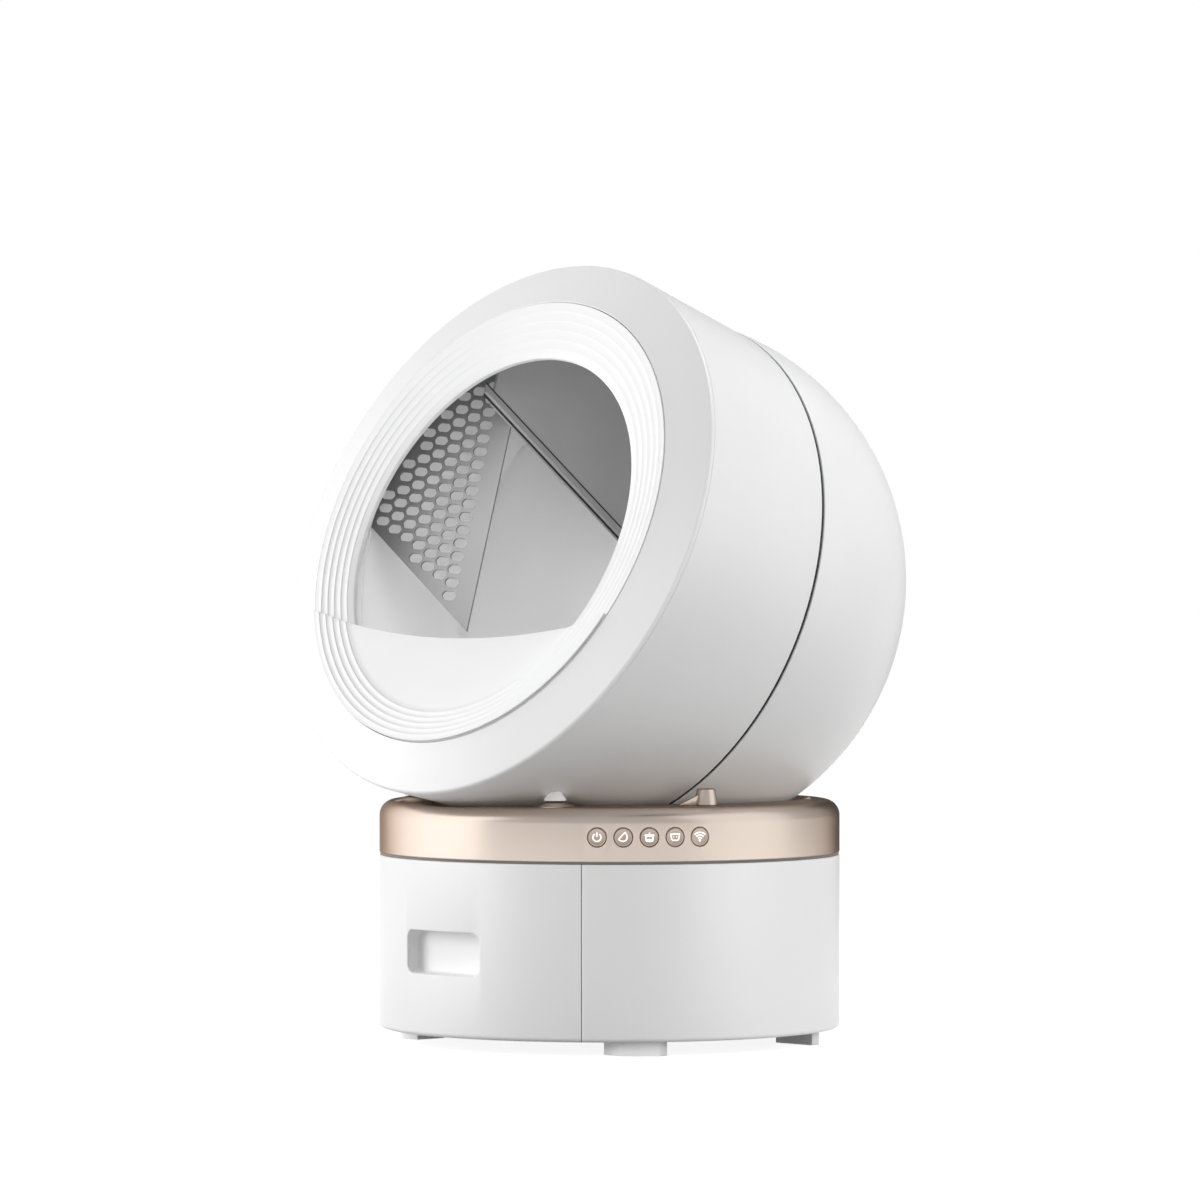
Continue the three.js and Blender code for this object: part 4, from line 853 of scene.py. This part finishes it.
for word, side_way in SIDES:
    circle_radius = math.sqrt(DOME_RADIUS ** 2 - ROLLER_BACK ** 2)
    out = around(side_way * ROLLER_ANGLE, circle_radius, -ROLLER_BACK)
    out /= np.linalg.norm(out)
    roller_frame = frame_along(DRUM, out * (DOME_RADIUS + ROLLER_GAP + ROLLER_RADIUS), out, (0, 0, 1))
    carve(top_ring, pocket(roller_frame, GAP + THIN, POCKET_RISE + GAP), "UNION")
    carve(top_ring, pocket(roller_frame, GAP, POCKET_CUT))
    print("pocket", word, [round(float(v), 1) for v in roller_frame[:3, 3]])

# %% Pads under the hood
PAD_X, PAD_Y, PAD_WIDTH, PAD_SINK = 50.0, 88.0, 14.0, 1.5
pad_space = drum_space(CLEAR + PAD_SINK)
carve(pad_space, drum_space(GAP))
for word, side_way in SIDES:
    block = box_shape(UPRIGHT, (PAD_WIDTH, PAD_WIDTH, RING_TOP), (side_way * PAD_X, -PAD_Y, RING_TOP / 2))
    pad = raw("pad", block)
    carve(pad, pad_space, "INTERSECT", keep=True)
    carve(top_ring, pad, "UNION")
    print("pad", word, "at x", side_way * PAD_X)
bpy.data.objects.remove(pad_space)

# %% Humps under the hood's feet
HUMP_X, HUMP_Y, HUMP_RADIUS, HUMP_HEIGHT, HUMP_SINK = 92.0, 152.0, 18.5, 5.0, 1.5
hump_ball = (HUMP_RADIUS ** 2 + HUMP_HEIGHT ** 2) / (2 * HUMP_HEIGHT)
flat_turn = math.degrees(math.asin((hump_ball - GAP) / hump_ball))
low_turn = math.degrees(math.asin((hump_ball - HUMP_HEIGHT) / hump_ball))
hump_profile = [(HUMP_RADIUS, -HUMP_SINK)]
hump_profile += arc(hump_ball, (0, HUMP_HEIGHT - hump_ball), low_turn, flat_turn, 8)
for word, side_way in SIDES:
    hump = raw("hump", spun(place_at(side_way * HUMP_X, -HUMP_Y, RING_TOP), hump_profile, 72))
    carve(top_ring, hump, "UNION")
    print("hump", word, "at x", side_way * HUMP_X)

# %% Button holes and their dished grooves
BUTTON_NAMES = ("power", "scoop", "empty", "level", "link")
BUTTON_FIRST, BUTTON_PITCH, BUTTON_HEIGHT, BUTTON_RADIUS = 43.7, 6.375, 192.0, 8.1
BUTTON_POINTS = 64
GROOVE = ((0.4, -10), (0.4, -0.75), (0.6, -0.45), (0.95, -0.1), (1.3, 0.25), (1.3, 10))


def button_frame(i):
    """A frame on the ring's wall with Z pointing out through the middle of a button."""
    turn = math.radians(BUTTON_FIRST + i * BUTTON_PITCH)
    out = np.array([math.sin(turn), -math.cos(turn), 0])
    return frame_of((-out[1], out[0], 0), (0, 0, 1), out, out * BASE_RADIUS + (0, BASE_Y, BUTTON_HEIGHT))


groove = [(BUTTON_RADIUS + past, height) for past, height in GROOVE]
for i in range(len(BUTTON_NAMES)):
    carve(top_ring, raw("groove", spun(button_frame(i), groove, BUTTON_POINTS)))
dress(top_ring, "base", CHAMPAGNE, ["top_cover"], sharp=35)

# %% [markdown]
# ## Buttons
# Each button is a round cap with a soft edge and a raised white symbol: power, a scoop, a bin, the level of
# the litter, and a wireless link. The symbols are strokes of even width. A curve object with a bevel would
# give them round strokes that stand off the cap, so they are flat ribbons with a little height instead.
# Their glow is painted light that keeps them bright white; nothing in them is a lamp.

# %% Caps
STEM_RADIUS, STEM_END, FLANGE, FLANGE_BACK, FLANGE_FRONT = 3.0, -12.7, 9.6, -5.6, -4.1
CAP_EDGE = ((0, -1.2), (0.1, -0.8), (0.4, -0.45), (0.9, -0.3), (1.7, -0.5), (2.6, -0.62))
CAP_MIDDLE = (1.0, -0.62)


def button_shape(where):
    """A stem, a flange that stops in the ring, and a cap with a rounded edge and a dished middle."""
    profile = [(STEM_RADIUS, STEM_END), (STEM_RADIUS, FLANGE_BACK), (FLANGE, FLANGE_BACK),
               (FLANGE, FLANGE_FRONT), (BUTTON_RADIUS, FLANGE_FRONT)]
    profile += [(BUTTON_RADIUS - inset, height) for inset, height in CAP_EDGE]
    return spun(where, profile + [CAP_MIDDLE], BUTTON_POINTS)


for i, word in enumerate(BUTTON_NAMES):
    cap = raw(f"cap_{word}", button_shape(button_frame(i)))
    dress(cap, f"button_{word}", CAP, [f"button_{word}"])

# %% Strokes and ribbons
SYMBOL_SCALE, SYMBOL_FLOOR, SYMBOL_TOP, STROKE = 1.35, -0.9, -0.3, 0.85


def stroke(line, closed=False):
    """An outline of even width round a line of points."""
    line = np.array(line, float)
    ahead, behind = np.roll(line, -1, 0), np.roll(line, 1, 0)
    if not closed:
        ahead[-1], behind[0] = line[-1], line[0]
    way = ahead - behind
    way /= np.linalg.norm(way, axis=1)[:, None]
    across_way = np.column_stack([-way[:, 1], way[:, 0]]) * STROKE / 2
    return line + across_way, line - across_way


def ribbon(where, line, closed=False):
    """A stroke as a flat ribbon with a little height, on a frame's face."""
    left, right = (side_line * SYMBOL_SCALE for side_line in stroke(line, closed))
    corners = ((left, SYMBOL_FLOOR), (left, SYMBOL_TOP), (right, SYMBOL_TOP), (right, SYMBOL_FLOOR))
    return skin([raised(where, flat, height) for flat, height in corners], loop=closed)


def bar_of(a, b, count=3):
    """Points on a straight line from a to b."""
    return [tuple(np.array(a) + (np.array(b) - np.array(a)) * share) for share in np.linspace(0, 1, count)]


# %% The five symbols
BLADE_RADIUS, BLADE_BACK, BLADE_LONG, BLADE_TILT = 3.1, -1.4, 1.25, -42.0
LINK_CENTRE, LINK_RADII, LINK_DOT = (0, -2.5), (1.9, 3.6, 5.3), 0.35


def leaf():
    """A half disc with its round side down to the right, the outline of a scoop's blade."""
    across, up = math.cos(math.radians(BLADE_TILT)), math.sin(math.radians(BLADE_TILT))
    half = [(x * BLADE_LONG + BLADE_BACK, y) for x, y in arc(BLADE_RADIUS, (0, 0), -90, 90, 20)]
    half += bar_of((BLADE_BACK, BLADE_RADIUS), (BLADE_BACK, -BLADE_RADIUS), 9)[1:-1]
    return [(x * across - y * up, x * up + y * across) for x, y in half]


def vessel(top, side_top, side_foot, foot, top_count, side_count):
    """A closed outline that narrows downwards. Each point is [x, y] from its middle, on the right side."""
    line = bar_of((-top[0], top[1]), top, top_count) + bar_of(side_top, side_foot, side_count)
    line += bar_of(foot, (-foot[0], foot[1]), side_count)
    return line + bar_of((-side_foot[0], side_foot[1]), (-side_top[0], side_top[1]), side_count)


tray = vessel((3, 1.9), (2.9, 1.2), (2.3, -1.6), (1.6, -2.1), 8, 6)
bin_body = vessel((2.6, 1.3), (2.5, 0.7), (2.2, -2.2), (1.7, -2.6), 6, 5)
bin_bars = [((-3.2, 1.35), (3.2, 1.35)), ((0, 1.3), (0, 3.0)), ((-1.9, 0.6), (1.9, 0.6)),
            ((-1.9, -1.6), (1.9, -1.6))]
tray_bars = [((-1.3, 0.1), (-0.7, 0.1)), ((0.7, 0.1), (1.3, 0.1))]
SYMBOLS = {
    "power": [(arc(2.6, (0, 0), 125, 415, 24), False), (bar_of((0, 0.4), (0, 3.2)), False)],
    "scoop": [(leaf(), True)],
    "empty": [(bin_body, True)] + [(bar_of(a, b), False) for a, b in bin_bars],
    "level": [(tray, True)] + [(bar_of(a, b), False) for a, b in tray_bars],
    "link": [(arc(radius, LINK_CENTRE, 45, 135, 24), False) for radius in LINK_RADII]
    + [(arc(LINK_DOT, (0, -2.4), 0, 360, 12), False)],
}
print("strokes", {word: len(lines) for word, lines in SYMBOLS.items()})

# %% Symbols with a painted glow
GLOW_STRENGTH, GLOW_ROUGH = 0.6, 0.5
PAINTED_GLOW, glow_tree, glow_shader, glow_colour = mottled("symbol_painted_glow", "f4efe8", "ffffff", 800.0)
# The emission is painted light: it keeps the symbols bright white, and they are no lamps.
glow_tree.links.new(glow_colour, glow_shader.inputs["Emission Color"])
glow_shader.inputs["Emission Strength"].default_value = GLOW_STRENGTH
glow_shader.inputs["Roughness"].default_value = GLOW_ROUGH
for i, word in enumerate(BUTTON_NAMES):
    shapes = [ribbon(button_frame(i), line, loop) for line, loop in SYMBOLS[word]]
    dress(raw(f"symbol_{word}", shapes), f"button_{word}", PAINTED_GLOW)

# %% [markdown]
# ## Body and drawer
# The body is a white round wall 414 mm across, open over 80 degrees at the front for the drawer. The
# drawer's front continues the same round wall, with a seam of 0.6 mm at each side. A plain tube cut in two
# would have no rounded ends at that seam, so both are turned through their own angle. The handle is a recess
# moulded in one with the wall, so the wall, the pocket and the opening are joined before the rim is rounded.

# %% Body wall and floor
FOOT_HEIGHT, BODY_FILLET, TOP_FILLET, FLOOR_LAP, FLOOR_INSET, SEAM_ROUND = 13.0, 4.0, 1.0, 6.0, 0.9, 0.7
inner_radius = BASE_RADIUS - WALL
body_turns = span(-90 + DRAWER_HALF, 270 - DRAWER_HALF, 200)


def foot_corner(low):
    """The rounded lower corner of the wall, from its foot up."""
    return arc(BODY_FILLET, (BASE_RADIUS - BODY_FILLET, low + BODY_FILLET), -90, 0, 8)


top_edge = arc(TOP_FILLET, (BASE_RADIUS - TOP_FILLET, BODY_TOP - TOP_FILLET), 0, 90, 5)
wall_profile = [(inner_radius - FLOOR_LAP, FOOT_HEIGHT)] + foot_corner(FOOT_HEIGHT) + top_edge
wall_profile += [(inner_radius, BODY_TOP), (inner_radius, FOOT_HEIGHT + WALL),
                 (inner_radius - FLOOR_LAP, FOOT_HEIGHT + WALL)]
housing = raw("body_shell", turned(UPRIGHT, wall_profile, body_turns))
soften(housing, SEAM_ROUND, angle=60)
floor_radius = inner_radius - FLOOR_INSET
floor_plate = [(floor_radius, FOOT_HEIGHT), (floor_radius, FOOT_HEIGHT + WALL)]
carve(housing, raw("floor_plate", spun(UPRIGHT, floor_plate)), "UNION")
print("body wall", len(housing.data.polygons), "faces")

# %% Corner posts and the hole for the power inlet
CORNER_X, CORNER_Y, CORNER_RADIUS, CORNER_SEAT, CORNER_TOP = 150.0, 115.0, 7.0, 1.5, 139.7
INLET_HEIGHT, INLET_RADIUS, INLET_LENGTH, INLET_IN, INLET_OUT = 60.0, 6.0, 14.0, 10.0, 40.0
corner_post = [(CORNER_RADIUS, FOOT_HEIGHT + CORNER_SEAT), (CORNER_RADIUS, CORNER_TOP)]
for x, y in [(x, y) for y in (-CORNER_Y, CORNER_Y) for x in (-CORNER_X, CORNER_X)]:
    carve(housing, raw("corner_post", spun(place_at(x, y, 0), corner_post, SMALL)), "UNION")
BACKWARD = frame_of((1, 0, 0), (0, 0, -1), (0, 1, 0), (0, BASE_Y + BASE_RADIUS - INLET_LENGTH, INLET_HEIGHT))
bore = [(INLET_RADIUS + GAP, -INLET_IN), (INLET_RADIUS + GAP, INLET_OUT)]
carve(housing, raw("inlet_bore", spun(BACKWARD, bore, SMALL)))
dress(housing, "base", WHITE, ["base_housing"])

# %% Drawer front with its pocket and recess
HANDLE_WIDTH, HANDLE_BOTTOM, HANDLE_TOP, HANDLE_DEPTH, HANDLE_CORNER = 94.0, 68.0, 106.0, 21.0, 8.0
HANDLE_OUT, RECESS_ROUND, DRAWER_SEAM = 20.0, 3.0, 0.6
CUP_INSET, CUP_LOW, CUP_HIGH = 1.0, 40.0, 130.0
FORWARD = frame_of((1, 0, 0), (0, 0, 1), (0, -1, 0), (0, BASE_Y - BASE_RADIUS, 0))


def handle_outline(grow):
    """The handle's rounded rectangle, grown all round."""
    half, radius = HANDLE_WIDTH / 2 + grow, HANDLE_CORNER + grow
    low, high = HANDLE_BOTTOM - grow + radius, HANDLE_TOP + grow - radius
    line = []
    for x, y, first in ((half - radius, low, -90), (half - radius, high, 0), (radius - half, high, 90),
                        (radius - half, low, 180)):
        line += arc(radius, (x, y), first, first + 90, 9)
    return line


seam_angle = math.degrees(DRAWER_SEAM / BASE_RADIUS)
drawer_turns = span(-90 - DRAWER_HALF + seam_angle, -90 + DRAWER_HALF - seam_angle, 96)
front_low = FOOT_HEIGHT + GAP
front_profile = [(BASE_RADIUS - SHELL, front_low)] + foot_corner(front_low) + top_edge
front_profile += [(BASE_RADIUS - SHELL, BODY_TOP)]
drawer_face = raw("drawer_face", turned(UPRIGHT, front_profile, drawer_turns))
soften(drawer_face, SEAM_ROUND, angle=60)
cup = raw("cup", prism(FORWARD, handle_outline(THIN), -HANDLE_DEPTH - THIN, HANDLE_OUT))
cup_space = [(BASE_RADIUS - CUP_INSET, CUP_LOW), (BASE_RADIUS - CUP_INSET, CUP_HIGH)]
carve(cup, raw("inside_wall", spun(UPRIGHT, cup_space, 240)), "INTERSECT")
carve(drawer_face, cup, "UNION")
recess = raw("recess", prism(FORWARD, handle_outline(0), -HANDLE_DEPTH, HANDLE_OUT))
soften(recess, RECESS_ROUND, segments=4)
carve(drawer_face, recess)

# %% The handle's rounded rim
WALL_NEAR, WINDOW_HALF, WINDOW_LOW, WINDOW_HIGH, RIM_SHARP = 0.3, 50.0, 60.0, 112.0, 0.5
HANDLE_RIM, HANDLE_RIM_STEPS = 1.6, 4


def on_handle_rim(edge):
    """Whether an edge is where the handle's recess opens in the round wall."""
    for corner in edge.verts:
        x, y, z = corner.co / MM
        if abs(math.hypot(x, y - BASE_Y) - BASE_RADIUS) > WALL_NEAR or abs(x) > WINDOW_HALF:
            return False
        if not WINDOW_LOW < z < WINDOW_HIGH:
            return False
    return len(edge.link_faces) == 2 and edge.calc_face_angle() > RIM_SHARP


work = bmesh.new()
work.from_mesh(drawer_face.data)
handle_rim = [edge for edge in work.edges if on_handle_rim(edge)]
print("rim edges", len(handle_rim))
bmesh.ops.bevel(work, geom=handle_rim, offset=HANDLE_RIM * MM, segments=HANDLE_RIM_STEPS, profile=0.5,
                affect="EDGES")
work.to_mesh(drawer_face.data)
work.free()
dress(drawer_face, "drawer", WHITE, ["drawer_front", "handle_cup"])

# %% [markdown]
# ## Feet and posts
# The body stands on four short feet. On the deck, white cones hold the hood up, and tapered champagne posts
# with a thin web stand beside the drum. A cone primitive has sharp ends, so cones and posts are turned from
# short profiles. The cones are longer than needed and are cut off by the hood's own space.

# %% Cones under the hood
HUMP_CONE = [(9.4, HUMP_HEIGHT), (10.0, HUMP_HEIGHT + 0.5), (9.8, HUMP_HEIGHT + 1.4), (6.2, 12.0),
             (6.0, 13.0), (6.0, 25.0)]
for word, side_way in SIDES:
    hood_cone = raw(f"hood_cone_{word}", spun(place_at(side_way * HUMP_X, -HUMP_Y, RING_TOP), HUMP_CONE, 64))
    carve(hood_cone, drum_space(GAP))
    dress(hood_cone, "base", WHITE, [f"hood_foot_{word}"])

# %% Guide posts
POST_X, POST_Y, POST_HEIGHT, POST_TURN = 158.0, 32.0, 14.0, 15.0
WEB_REACH, WEB_DROP, WEB_HALF, WEB_ROUND = 28.0, 1.5, 1.5, 0.5
POST_COLUMN = [(10.0, 0), (9.6, 4.0), (8.4, POST_HEIGHT - 1.8), (8.0, POST_HEIGHT - 0.6), (7.0, POST_HEIGHT),
               (6.0, POST_HEIGHT)]
for word, side_way in SIDES:
    turn = -math.pi / 2 - side_way * math.radians(POST_TURN)
    along, across = (math.cos(turn), math.sin(turn), 0), (-math.sin(turn), math.cos(turn), 0)
    where = place_at(side_way * POST_X, -POST_Y, RING_TOP + GAP) @ frame_of(along, across, (0, 0, 1))
    post = raw(f"drum_post_{word}", spun(where, POST_COLUMN, 64))
    on_edge = where @ frame_of((1, 0, 0), (0, 0, 1), (0, -1, 0))
    corners = [(0, 0), (WEB_REACH, 0), (0, POST_HEIGHT - WEB_DROP)]
    web = raw("web", prism(on_edge, corners, -WEB_HALF, WEB_HALF))
    soften(web, WEB_ROUND)
    carve(post, web, "UNION")
    dress(post, "base", CHAMPAGNE, [f"guide_post_{word}"])

# %% [markdown]
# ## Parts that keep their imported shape
# Rollers, yokes, pins, gears, the gearbox and motor, rails, tub and plates keep the shape they were packed
# with. They could be modelled again, but their solids already have the right form. So a copy of each is
# welded, its edges rounded a little and its round faces shaded smoothly, as turned and moulded parts are.

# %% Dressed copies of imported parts
PACKED_ROUND, FLAT_ENOUGH = 0.4, math.radians(0.5)


def dressed(node, body, surface):
    """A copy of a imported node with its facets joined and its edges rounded."""
    made = bpy.data.objects.new(f"{node}_part", frame["nodes"][node].data.copy())
    scene.collection.objects.link(made)
    work = bmesh.new()
    work.from_mesh(made.data)
    bmesh.ops.remove_doubles(work, verts=work.verts, dist=WELD * MM)
    bmesh.ops.dissolve_limit(work, angle_limit=FLAT_ENOUGH, verts=work.verts, edges=work.edges)
    work.to_mesh(made.data)
    work.free()
    made.data.name = made.name
    soften(made, PACKED_ROUND, angle=32)
    dress(made, body, surface, [node])


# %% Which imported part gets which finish
def paired(stem):
    """The four nodes of a stem, rear and front, left and right."""
    return [f"{end}_roller{stem}_{word}" for end in ("rear", "front") for word, _ in SIDES]


feet = [f"foot_{end}_{word}" for end in ("front", "rear") for word, _ in SIDES]
KEPT = [
    ("base", BLACK, "black_plastic", ["chassis_plate", "button_carrier", "gearbox", "power_inlet"]),
    ("base", BOARD, "green_board", ["control_board"]),
    ("base", RUBBER, "grey_rubber", ["waste_chute"]),
    ("base", ACETAL, "acetal", ["drawer_rail_left", "drawer_rail_right"]),
    ("base", FOOT_WHITE, "grey_rubber", feet),
    ("base", STEEL, "steel", ["drive_motor"] + paired("_pin")),
    ("base", BLACK, "black_plastic", paired("_yoke")),
    ("drawer", LINER, "pale_liner", ["drawer_tub"]),
    ("drawer", PANEL, "dark_panel", ["bag_ring"]),
    ("shutter", PANEL, "dark_panel", ["port_shutter"]),
    ("drum", ACETAL, "acetal", ["ring_gear"]),
    ("pinion", ACETAL, "acetal", ["drive_pinion"]),
]
for body, surface, slot, nodes in KEPT:
    for node in nodes:
        dressed(node, body, surface)
for node in paired(""):
    dressed(node, node, RUBBER)

# %% [markdown]
# ## Room
# The photograph has a white ground and soft light. A white floor lit like the rest would go grey or would
# need so much light that the white shell loses its form. So the floor and the world are white to the camera
# and pale in what shiny pieces mirror, they light the object much less, and the floor keeps a soft shadow.

# %% Floor
FLOOR_HALF = 9000.0
FLOOR_LIT, FLOOR_SHOWN, FLOOR_GLOW, FLOOR_MIX = "9c9c9c", "f6f6f6", 1.75, 0.5


def seen_ray(tree):
    """1 for what the camera sees or a shiny surface mirrors, and 0 for the light itself."""
    path, either = tree.nodes.new("ShaderNodeLightPath"), tree.nodes.new("ShaderNodeMath")
    either.operation = "MAXIMUM"
    tree.links.new(path.outputs["Is Camera Ray"], either.inputs[0])
    tree.links.new(path.outputs["Is Glossy Ray"], either.inputs[1])
    return either.outputs[0]


def mixed(tree, share, first, second):
    """A mix of two shaders. The share of the second is a number or the output of a node."""
    made = tree.nodes.new("ShaderNodeMixShader")
    if isinstance(share, float):
        made.inputs["Fac"].default_value = share
    else:
        tree.links.new(share, made.inputs["Fac"])
    tree.links.new(first, made.inputs[1])
    tree.links.new(second, made.inputs[2])
    return made.outputs[0]


corners = np.array([(x * FLOOR_HALF, y * FLOOR_HALF, 0.0) for x, y in SQUARE])
floor = raw("floor", (corners, [(0, 1, 2, 3)]))
pale = bpy.data.materials.new("pale_floor")
pale.use_nodes = True
tree = pale.node_tree
tree.nodes.clear()
lit, shown = tree.nodes.new("ShaderNodeBsdfDiffuse"), tree.nodes.new("ShaderNodeBsdfDiffuse")
lit.inputs["Color"].default_value = colour(FLOOR_LIT)
shown.inputs["Color"].default_value = colour(FLOOR_SHOWN)
glow = tree.nodes.new("ShaderNodeEmission")
glow.inputs["Strength"].default_value = FLOOR_GLOW
both = mixed(tree, FLOOR_MIX, shown.outputs[0], glow.outputs[0])
output = tree.nodes.new("ShaderNodeOutputMaterial")
tree.links.new(mixed(tree, seen_ray(tree), lit.outputs[0], both), output.inputs["Surface"])
floor.data.materials.append(pale)
floor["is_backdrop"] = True
print("floor", 2 * FLOOR_HALF * MM, "metres across")

# %% World
ALL_ROUND, SEEN_IN_GLOSS, SEEN_BY_CAMERA = 0.3, 0.55, 1.0
world = bpy.data.worlds.new("room")
scene.world = world
world.use_nodes = True
tree = world.node_tree
tree.nodes.remove(tree.nodes["Background"])


def sky(strength):
    """White light from all round."""
    made = tree.nodes.new("ShaderNodeBackground")
    made.inputs["Color"].default_value, made.inputs["Strength"].default_value = (1, 1, 1, 1), strength
    return made.outputs[0]


path = tree.nodes.new("ShaderNodeLightPath")
in_gloss = mixed(tree, path.outputs["Is Glossy Ray"], sky(ALL_ROUND), sky(SEEN_IN_GLOSS))
all_rays = mixed(tree, path.outputs["Is Camera Ray"], in_gloss, sky(SEEN_BY_CAMERA))
tree.links.new(all_rays, tree.nodes["World Output"].inputs["Surface"])
print("world", ALL_ROUND, SEEN_IN_GLOSS, SEEN_BY_CAMERA)

# %% [markdown]
# ## Lamps
# White shell, metal ring, round body and feet each show their form by a different light. Shared lamps that
# suit one make another flat or too dark, and a stronger one would turn the white shell blank. So each group
# has lamps of its own by light linking: low ones at three sides and one above the back for the hood and the
# drum, a wide soft one at each side for the metal, and a few smaller ones round the body and the feet. All
# are plain white. A disk inside the entry stands in for light that the pale liner throws about.

# %% One lamp, and the pieces that it lights
def lamp(name, azimuth, distance, height, size, watts, aim=0.4):
    """A square lamp that looks at the object's axis. Azimuth 0 is in front and 90 to the right. In metres."""
    data = bpy.data.lights.new(name, "AREA")
    data.size, data.energy = size, watts
    made = bpy.data.objects.new(name, data)
    turn = math.radians(azimuth)
    made.location = Vector((math.sin(turn) * distance, -math.cos(turn) * distance, height))
    made.rotation_euler = (Vector((0, 0, aim)) - made.location).to_track_quat("-Z", "Y").to_euler()
    made.visible_camera = False
    scene.collection.objects.link(made)
    return made


def group(name, pieces, state="INCLUDE"):
    """A collection that tells a lamp which pieces it lights, or with EXCLUDE which it leaves out."""
    made = bpy.data.collections.new(name)
    for piece in pieces:
        made.objects.link(piece)
    for entry in made.collection_objects:
        entry.light_linking.link_state = state
    return made


# %% Lamps
LAMPS = [
    ("shell_left", "shell", (-60, 2.6, 0.6, 2.0, 50)), ("shell_front", "shell", (8, 2.6, 0.9, 1.8, 31)),
    ("shell_right", "shell", (122, 2.6, 0.8, 2.2, 42)), ("shell_top", "shell", (160, 1.5, 2.8, 1.5, 30)),
    ("metal_left", "metal", (-58, 2.2, 1.4, 4.6, 72)), ("metal_right", "metal", (118, 2.6, 1.5, 3.0, 16)),
    ("body_left", "body", (-45, 2.8, 1.6, 4.0, 45)), ("body_front", "body", (-22, 1.8, 0.45, 1.2, 17, 0.12)),
    ("body_right", "body", (104, 1.8, 0.45, 1.2, 20, 0.12)), ("body_back", "body", (212, 2.4, 0.9, 2.0, 24)),
    ("foot_left", "feet", (-5, 1.8, 0.45, 1.2, 20, 0.12)),
    ("foot_right", "feet", (95, 1.8, 0.45, 1.2, 7, 0.12)),
]
pieces = bpy.data.objects
metal_pieces = [top_ring] + [pieces[f"drum_post_{word}"] for word, _ in SIDES]
metal_pieces += [pieces[f"cap_{word}"] for word in BUTTON_NAMES]
body_pieces = [housing, drawer_face]
LIT = {"shell": group("not_shell", metal_pieces + body_pieces, "EXCLUDE"),
       "metal": group("metal", metal_pieces), "body": group("body", body_pieces),
       "feet": group("feet", [pieces[f"{node}_part"] for node in feet])}
for name, lit_pieces, place in LAMPS:
    lamp(name, *place).light_linking.receiver_collection = LIT[lit_pieces]
print("lamps", len(LAMPS), "for", ", ".join(LIT))

# %% Lamp inside the entry
FILL_SIZE, FILL_WATTS, FILL_BACK = 0.3, 0.62, 20.0
fill = lamp("entry_fill", 0, 1.0, 1.0, FILL_SIZE, FILL_WATTS)
fill.data.shape = "DISK"
fill.location = Vector(FACE[:3, 3] - FACE[:3, 2] * FILL_BACK) * MM
fill.rotation_euler = (-Vector(FACE[:3, 2])).to_track_quat("-Z", "Y").to_euler()
print("fill at", [round(v, 3) for v in fill.location])

# %% [markdown]
# ## Dark cards
# In a photo studio, metal is shaped by what it mirrors. The ring shows darker bands at its top and at its
# sides, because it mirrors something dark there. Darker paint would spoil its colour from other sides, so
# two curved cards stand above and behind. Only glossy rays see them, and so they take no light away.

# %% Cards that only glossy rays see
CARD_POINTS, CARD_THICK, CARD_ROUGH = 17, 6.0, 0.9
CARDS = [("card_above", -20, 95, [(1250.0, 1650.0), (900.0, 2050.0), (350.0, 2350.0)]),
         ("card_behind", 190, 240, [(1900.0, 20.0), (1900.0, 1500.0)])]
card_black, _, card_shader, _ = mottled("card_black", "1c1714", "221c18", 20.0)
card_shader.inputs["Roughness"].default_value = CARD_ROUGH


def card_of(name, first, last, places):
    """A curved card through [distance, height] places between two azimuths."""
    turns = span(first, last, CARD_POINTS)
    rows = [np.column_stack([np.sin(turns) * r, -np.cos(turns) * r, np.full(CARD_POINTS, z)])
            for r, z in places + [(r - CARD_THICK, z) for r, z in places[::-1]]]
    made = raw(name, skin(rows, loop=False))
    made.visible_camera = made.visible_diffuse = made.visible_shadow = False
    made.data.materials.append(card_black)
    made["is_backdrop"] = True


for card in CARDS:
    card_of(*card)
scene.view_settings.view_transform = "Standard"
print("cards", len(CARDS), "view", scene.view_settings.view_transform)

# %% Sizes and finish
seen_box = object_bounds()
for word, cad, seen in zip(("low", "high"), cad_box, seen_box):
    print("grew at the", word, "corner by mm", [round((b - a) / MM, 2) for a, b in zip(cad, seen)])
